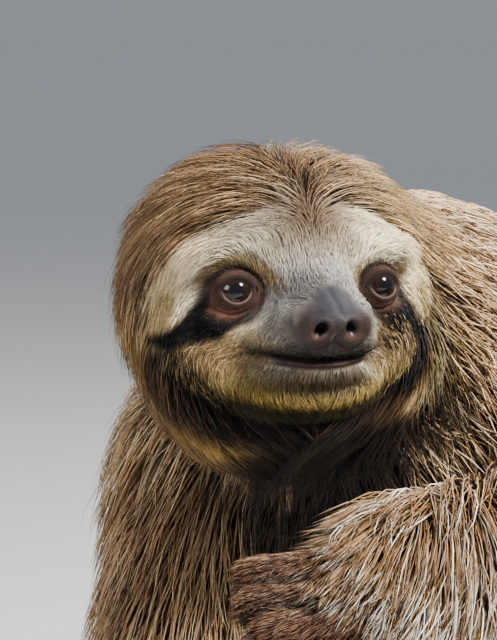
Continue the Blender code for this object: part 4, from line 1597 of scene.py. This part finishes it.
def face_shades(lines, places, cheek, owner, draw):
    """Colours along the face's hairs, with straw-coloured wisps in the cheeks and under the left eye, and
    painted shade towards the roots.
    """
    count, rings = lines.shape[:2]
    shades = face_colours(to_head(lines.reshape(-1, 3))).reshape(count, rings, 3)
    lock = draw.uniform(0.88, 1.12, count)[owner] * draw.uniform(0.84, 1.16, count)
    wisps = cheek * smooth_step(-12.0, -16.0, places[:, 2])
    wisps = np.maximum(wisps, oval(places, (31.0, -14.0), (10.0, 9.0), soft=0.4) * (places[:, 0] > 0))
    wisps = wisps * (draw.uniform(size=count) < 0.28) * (1 - cheek_line(places))
    shades = tinted(shades * lock[:, None, None], STRAW, wisps * 0.55)
    # painted shade: each hair darker towards its root
    return np.clip(shades * np.linspace(0.72, 1.0, rings)[:, None], DARKEST, FACE_BRIGHTEST)


def face_coat(triangles, draw, thin):
    roots = scatter(triangles, face_density(triangles[0].mean(axis=1)) * thin, draw)
    count = len(roots.points)
    places = to_head(roots.points)
    length = face_length(places) * MM * draw.uniform(0.65, 1.2, count)
    cheek = cheek_amount(places)
    lines, owner = gather(
        grow_on_face(roots, length, cheek, draw), roots, FACE_CLUMP, 0.22 + 0.4 * cheek, draw
    )
    width = (0.24 + 0.08 * smooth_step(0.4, 0.9, face_edge(places))) * MM * draw.uniform(0.8, 1.2, count)
    return lines, width, roots, face_shades(lines, places, cheek, owner, draw)


def both(*zones):
    return [f"{zone}_{side}" for zone in zones for side in SIDES]


PIECES = {
    "coat_trunk": ["trunk", "tail"] + both("hip"),
    "coat_shoulders": ["neck"] + both("shoulder", "upper_arm"),
    "coat_limbs": both("forearm", "thigh", "shin", "foot", "foot_toe", "hand", "hand_toe"),
}
MOST_TRIANGLES = 195_000


def coat_pieces(name, slot, finish, lines, widths, roots, shades, chosen=None):
    """Makes one or more pieces of chosen hairs, each with fewer triangles than the most allowed."""
    index = np.arange(len(lines)) if chosen is None else np.nonzero(chosen)[0]
    each = 6 * (lines.shape[1] - 2) + 4
    parts = max(1, math.ceil(len(index) * each / MOST_TRIANGLES))
    for part in range(parts):
        mine = index[part::parts]
        hairs = lines[mine], widths[mine], roots.normals[mine], shades[mine], roots.spots[mine]
        piece = hair_mesh(f"{name}_{part + 1}", *hairs)
        piece.data.materials.append(finish)
        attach(piece, "root")
        print(piece.name, len(mine), "hairs", len(mine) * each, "triangles")


def make_coat(skin, finish, thin):
    draw = np.random.default_rng(11)
    triangles = skin_triangles(skin.data)
    grid = make_grid()
    coat_pieces("coat_face", "coat_face", finish, *face_coat(triangles, draw, thin))
    coat_pieces("coat_hood", "coat_face", finish, *hood_coat(triangles, grid, draw, thin))
    *hairs, _ = body_coat(triangles, grid, draw, thin, raised=True)
    coat_pieces("coat_forearm_left", "coat_brown", finish, *hairs)
    *hairs, zone = body_coat(triangles, grid, draw, thin, raised=False)
    for name, zones in PIECES.items():
        coat_pieces(name, "coat_brown", finish, *hairs, np.isin(zone, zones))


# ---------------------------------------------------------------- materials

BUMP_HEIGHT = 0.0003


def new_material(name):
    made = bpy.data.materials.new(name)
    made.use_nodes = True
    nodes = made.node_tree.nodes
    return made, nodes, made.node_tree.links, nodes["Principled BSDF"]


def noise(nodes, links, scale, detail=3.0):
    where = nodes.new("ShaderNodeTexCoord")
    texture = nodes.new("ShaderNodeTexNoise")
    texture.inputs["Scale"].default_value = scale
    texture.inputs["Detail"].default_value = detail
    links.new(where.outputs["Object"], texture.inputs["Vector"])
    return texture.outputs["Fac"]


def between(nodes, links, value, low, high, start=0.0, end=1.0):
    ranged = nodes.new("ShaderNodeMapRange")
    links.new(value, ranged.inputs["Value"])
    for name, number in zip(("From Min", "From Max", "To Min", "To Max"), (start, end, low, high)):
        ranged.inputs[name].default_value = number
    return ranged.outputs["Result"]


def times(nodes, links, colour, factor):
    product = nodes.new("ShaderNodeVectorMath")
    product.operation = "SCALE"
    links.new(colour, product.inputs[0])
    links.new(factor, product.inputs["Scale"])
    return product.outputs["Vector"]


def painted(nodes, links, shader, texture, least, most, start, end):
    """The painted colour, varied by a texture, as the surface's own. Gives the paint's node."""
    colour = nodes.new("ShaderNodeVertexColor")
    colour.layer_name = "Coat"
    vary = between(nodes, links, texture, least, most, start, end)
    links.new(times(nodes, links, colour.outputs["Color"], vary), shader.inputs["Base Color"])
    return colour


def bumped(nodes, links, shader, height, strength):
    bump = nodes.new("ShaderNodeBump")
    bump.inputs["Strength"].default_value = strength
    bump.inputs["Distance"].default_value = BUMP_HEIGHT
    links.new(height, bump.inputs["Height"])
    links.new(bump.outputs["Normal"], shader.inputs["Normal"])


def hair_material():
    made, nodes, links, shader = new_material("coat hair")
    painted(nodes, links, shader, noise(nodes, links, 900.0, 2.0), 0.80, 1.20, 0.3, 0.7)
    rough = between(nodes, links, noise(nodes, links, 300.0, 2.0), 0.42, 0.60)
    links.new(rough, shader.inputs["Roughness"])
    shader.inputs["Specular IOR Level"].default_value = 0.19
    return made


def skin_material():
    made, nodes, links, shader = new_material("skin")
    colour = painted(nodes, links, shader, noise(nodes, links, 450.0, 4.0), 0.70, 1.30, 0.25, 0.75)
    links.new(between(nodes, links, colour.outputs["Alpha"], 0.95, 0.38), shader.inputs["Roughness"])
    shader.inputs["Specular IOR Level"].default_value = 0.22
    where = nodes.new("ShaderNodeTexCoord")
    pebble = nodes.new("ShaderNodeTexVoronoi")
    pebble.inputs["Scale"].default_value = 1400.0
    links.new(where.outputs["Object"], pebble.inputs["Vector"])
    bumped(nodes, links, shader, pebble.outputs["Distance"], 0.22)
    return made


def horn_material():
    made, nodes, links, shader = new_material("claw horn")
    where = nodes.new("ShaderNodeTexCoord")
    stretch = nodes.new("ShaderNodeMapping")
    stretch.inputs["Scale"].default_value = (900.0, 900.0, 120.0)
    links.new(where.outputs["UV"], stretch.inputs["Vector"])
    grain = nodes.new("ShaderNodeTexNoise")
    grain.inputs["Scale"].default_value = 0.12
    grain.inputs["Detail"].default_value = 4.0
    links.new(stretch.outputs["Vector"], grain.inputs["Vector"])
    painted(nodes, links, shader, grain.outputs["Fac"], 0.70, 1.30, 0.3, 0.7)
    links.new(between(nodes, links, grain.outputs["Fac"], 0.28, 0.50), shader.inputs["Roughness"])
    bumped(nodes, links, shader, grain.outputs["Fac"], 0.30)
    return made


def eye_material():
    made, nodes, links, shader = new_material("eye")
    painted(nodes, links, shader, noise(nodes, links, 2500.0, 3.0), 0.75, 1.25, 0.3, 0.7)
    shader.inputs["Roughness"].default_value = 0.12
    shader.inputs["Specular IOR Level"].default_value = 0.15
    shader.inputs["Coat Weight"].default_value = 0.36
    shader.inputs["Coat Roughness"].default_value = 0.02
    return made


# ---------------------------------------------------------------- claws and eyes

WELD = 1e-6
CLAW_RINGS = 30
CLAW_AROUND = 16
HORN_ROOT = (0.16, 0.115, 0.080)
HORN_TIP = (0.46, 0.38, 0.27)


def closed_mesh(name, points, faces, colours, finish):
    """A smooth, painted mesh with its faces turned outwards, and points at one place made one."""
    mesh = bpy.data.meshes.new(name)
    mesh.from_pydata([tuple(point) for point in points], [], faces)
    paint(mesh, "Coat", np.array(colours))
    bm = bmesh.new()
    bm.from_mesh(mesh)
    bmesh.ops.remove_doubles(bm, verts=bm.verts, dist=WELD)
    bmesh.ops.recalc_face_normals(bm, faces=bm.faces)
    bm.to_mesh(mesh)
    bm.free()
    mesh.shade_smooth()
    mesh.materials.append(finish)
    return mesh


def make_claw(paw, index, finish):
    """A tapered, bent horn with a keel along its back, on the solid claw's own arc."""
    along, across, palm = paw_axes(paw)
    _, tip = toe_points(paw, index)
    sweep = math.radians(CLAW_SWEEP[paw])
    start = math.radians(CLAW_START[paw])
    bend_radius = CLAW_LENGTH[paw.split("_")[0]] / sweep
    root = tip - along * CLAW_ROOT
    points, colours, spots = [], [], []
    for ring in range(CLAW_RINGS):
        share = ring / (CLAW_RINGS - 1)
        angle = start + sweep * share
        rise = math.cos(start) - math.cos(angle)
        middle = root + (along * (math.sin(angle) - math.sin(start)) + palm * rise) * bend_radius
        inner = palm * math.cos(angle) - along * math.sin(angle)
        thick = CLAW_THICK * (CLAW_TIP + (1 - CLAW_TIP) * (1 - share**CLAW_TAPER))
        for step in range(CLAW_AROUND):
            turn = 2 * math.pi * step / CLAW_AROUND
            deep = math.cos(turn)
            wide = math.sin(turn) * CLAW_SLIM * (1 + 0.12 * deep)
            points.append(middle + inner * thick * deep * (0.92 if deep > 0 else 1.0) + across * thick * wide)
            shade = np.array(HORN_ROOT) * (1 - share) + np.array(HORN_TIP) * share
            colours.append(shade * (0.86 + 0.14 * math.cos(turn + math.pi)))
            spots.append((step / CLAW_AROUND, share))
    faces = ring_faces(CLAW_RINGS, CLAW_AROUND)
    faces.append(tuple(range(CLAW_AROUND))[::-1])
    faces.append(tuple((CLAW_RINGS - 1) * CLAW_AROUND + step for step in range(CLAW_AROUND)))
    name = f"horn_{paw}_{index + 1}"
    mesh = closed_mesh(name, points, faces, colours, finish)
    layer = mesh.uv_layers.new(name="OFBake")
    for loop in mesh.loops:
        layer.uv[loop.index].vector = spots[loop.vertex_index]
    piece = link(bpy.data.objects.new(name, mesh))
    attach(piece, "root")
    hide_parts(f"claw_{paw}_{index + 1}")


EYE_AROUND = 64
EYE_RINGS = 40
EYE_SEATED = 0.985  # share of the solid eyeball's radius, under the cornea's bulge
IRIS_ANGLE = 60.0
PUPIL_ANGLE = 22.0
EYE_WHITE = (0.028, 0.015, 0.010)
IRIS_OUTER = (0.006, 0.0038, 0.0032)
IRIS_INNER = (0.016, 0.0075, 0.0045)
PUPIL = (0.003, 0.003, 0.004)


def eye_shade(degrees, turn):
    """The eyeball's colour, by the angle from its middle and the turn round it."""
    at = np.array([degrees])
    rays = 0.75 + 0.25 * math.sin(turn * 23) * math.sin(turn * 9 + 1)
    layers = [
        (np.array(IRIS_INNER) * rays, smooth_step(PUPIL_ANGLE - 1.5, PUPIL_ANGLE + 1.5, at)),
        (IRIS_OUTER, smooth_step(PUPIL_ANGLE + 4, IRIS_ANGLE - 3, at)),
        (EYE_WHITE, smooth_step(IRIS_ANGLE - 1.5, IRIS_ANGLE + 2.5, at)),
    ]
    return layered(np.array([PUPIL]), layers)[0]


def make_eye(side, finish):
    """An eyeball with its iris and pupil painted under a clear coat, the cornea standing out a little."""
    centre, axes = eye_axes(side)
    points, colours = [], []
    for ring in range(EYE_RINGS + 1):
        angle = math.pi * (ring / EYE_RINGS) ** 1.4
        degrees = math.degrees(angle)
        bulge = 1 + 0.035 * math.exp(-((degrees / 34.0) ** 4))
        for step in range(EYE_AROUND):
            turn = 2 * math.pi * step / EYE_AROUND
            across, up = math.sin(angle) * math.cos(turn), math.sin(angle) * math.sin(turn)
            ray = np.array((across, math.cos(angle), up))
            points.append(from_head((ray * EYE_RADIUS * bulge * EYE_SEATED) @ axes + centre))
            colours.append(eye_shade(degrees, turn))
    name = "eyeball_left" if side > 0 else "eyeball_right"
    mesh = closed_mesh(name, points, ring_faces(EYE_RINGS + 1, EYE_AROUND), colours, finish)
    piece = link(bpy.data.objects.new(name, mesh))
    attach(piece, "root")
    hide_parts("eye_left" if side > 0 else "eye_right")


# ---------------------------------------------------------------- stage

VIEW_AZIMUTH = math.radians(20)
VIEW_ELEVATION = math.radians(6)
VIEW_DISTANCE = 0.85
FIELD_HEIGHT = 0.1984  # how much the picture takes in, from top to bottom, at the eyes
EYES_FORWARD = 0.02
SHIFT = (-0.06171875, -0.0453125)  # of the camera's view, in shares of the picture's height
SENSOR = 36.0  # millimetres


def make_camera():
    data = bpy.data.cameras.new("camera")
    camera = link(bpy.data.objects.new("camera", data))
    level = math.cos(VIEW_ELEVATION)
    back = Vector(
        (math.sin(VIEW_AZIMUTH) * level, -math.cos(VIEW_AZIMUTH) * level, math.sin(VIEW_ELEVATION))
    )
    camera.location = HEAD_CENTRE + back * VIEW_DISTANCE
    camera.rotation_mode = "QUATERNION"
    camera.rotation_quaternion = (-back).to_track_quat("-Z", "Y")
    data.sensor_width = SENSOR
    data.lens = SENSOR * (VIEW_DISTANCE - EYES_FORWARD) / FIELD_HEIGHT
    data.shift_x, data.shift_y = SHIFT
    data.clip_start = 0.01
    bpy.context.scene.camera = camera


def make_floor():
    bm = bmesh.new()
    bmesh.ops.create_circle(bm, cap_ends=True, radius=40.0, segments=96)
    mesh = bpy.data.meshes.new("floor")
    bm.to_mesh(mesh)
    bm.free()
    floor = link(bpy.data.objects.new("floor", mesh))
    made, nodes, links, shader = new_material("floor paint")
    where = nodes.new("ShaderNodeTexCoord")
    reach = nodes.new("ShaderNodeVectorMath")
    reach.operation = "LENGTH"
    links.new(where.outputs["Object"], reach.inputs[0])
    shade = between(nodes, links, reach.outputs["Value"], 0.60, 0.965, 1.0, 9.0)
    joined = nodes.new("ShaderNodeCombineColor")
    for name in ("Red", "Green", "Blue"):
        links.new(shade, joined.inputs[name])
    links.new(joined.outputs["Color"], shader.inputs["Base Color"])
    shader.inputs["Roughness"].default_value = 0.8
    mesh.materials.append(made)


def make_light(name, place, aim, size, watts, colour):
    data = bpy.data.lights.new(name, "AREA")
    data.shape = "DISK"
    data.size = size
    data.energy = watts
    data.color = colour
    lamp = link(bpy.data.objects.new(name, data))
    lamp.location = place
    lamp.rotation_mode = "QUATERNION"
    lamp.rotation_quaternion = (Vector(aim) - Vector(place)).to_track_quat("-Z", "Y")


def make_lights():
    world = bpy.data.worlds.new("studio")
    bpy.context.scene.world = world
    world.use_nodes = True
    sky = world.node_tree.nodes["Background"]
    sky.inputs["Color"].default_value = (0.82, 0.89, 1.0, 1.0)
    sky.inputs["Strength"].default_value = 0.34
    make_light("key", (1.32, -0.46, 1.66), HEAD_CENTRE, 0.55, 160.0, (1.0, 0.97, 0.91))
    make_light("fill", (-1.15, -1.5, 1.10), HEAD_CENTRE, 0.9, 24.0, (0.97, 0.98, 1.0))
    make_light("rim", (0.6, 1.2, 1.3), HEAD_CENTRE, 0.7, 40.0, (1.0, 0.98, 0.95))


# ---------------------------------------------------------------- all of it


def main():
    make_camera()
    make_floor()
    make_lights()
    skin = make_skin()
    skin.data.materials.append(skin_material())
    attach(skin, "root")
    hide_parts(*FLESH)
    horn = horn_material()
    for paw in PAWS:
        for index in range(TOES):
            make_claw(paw, index, horn)
    wet = eye_material()
    for side in (-1, 1):
        make_eye(side, wet)
    make_coat(skin, hair_material(), 1.0)


main()
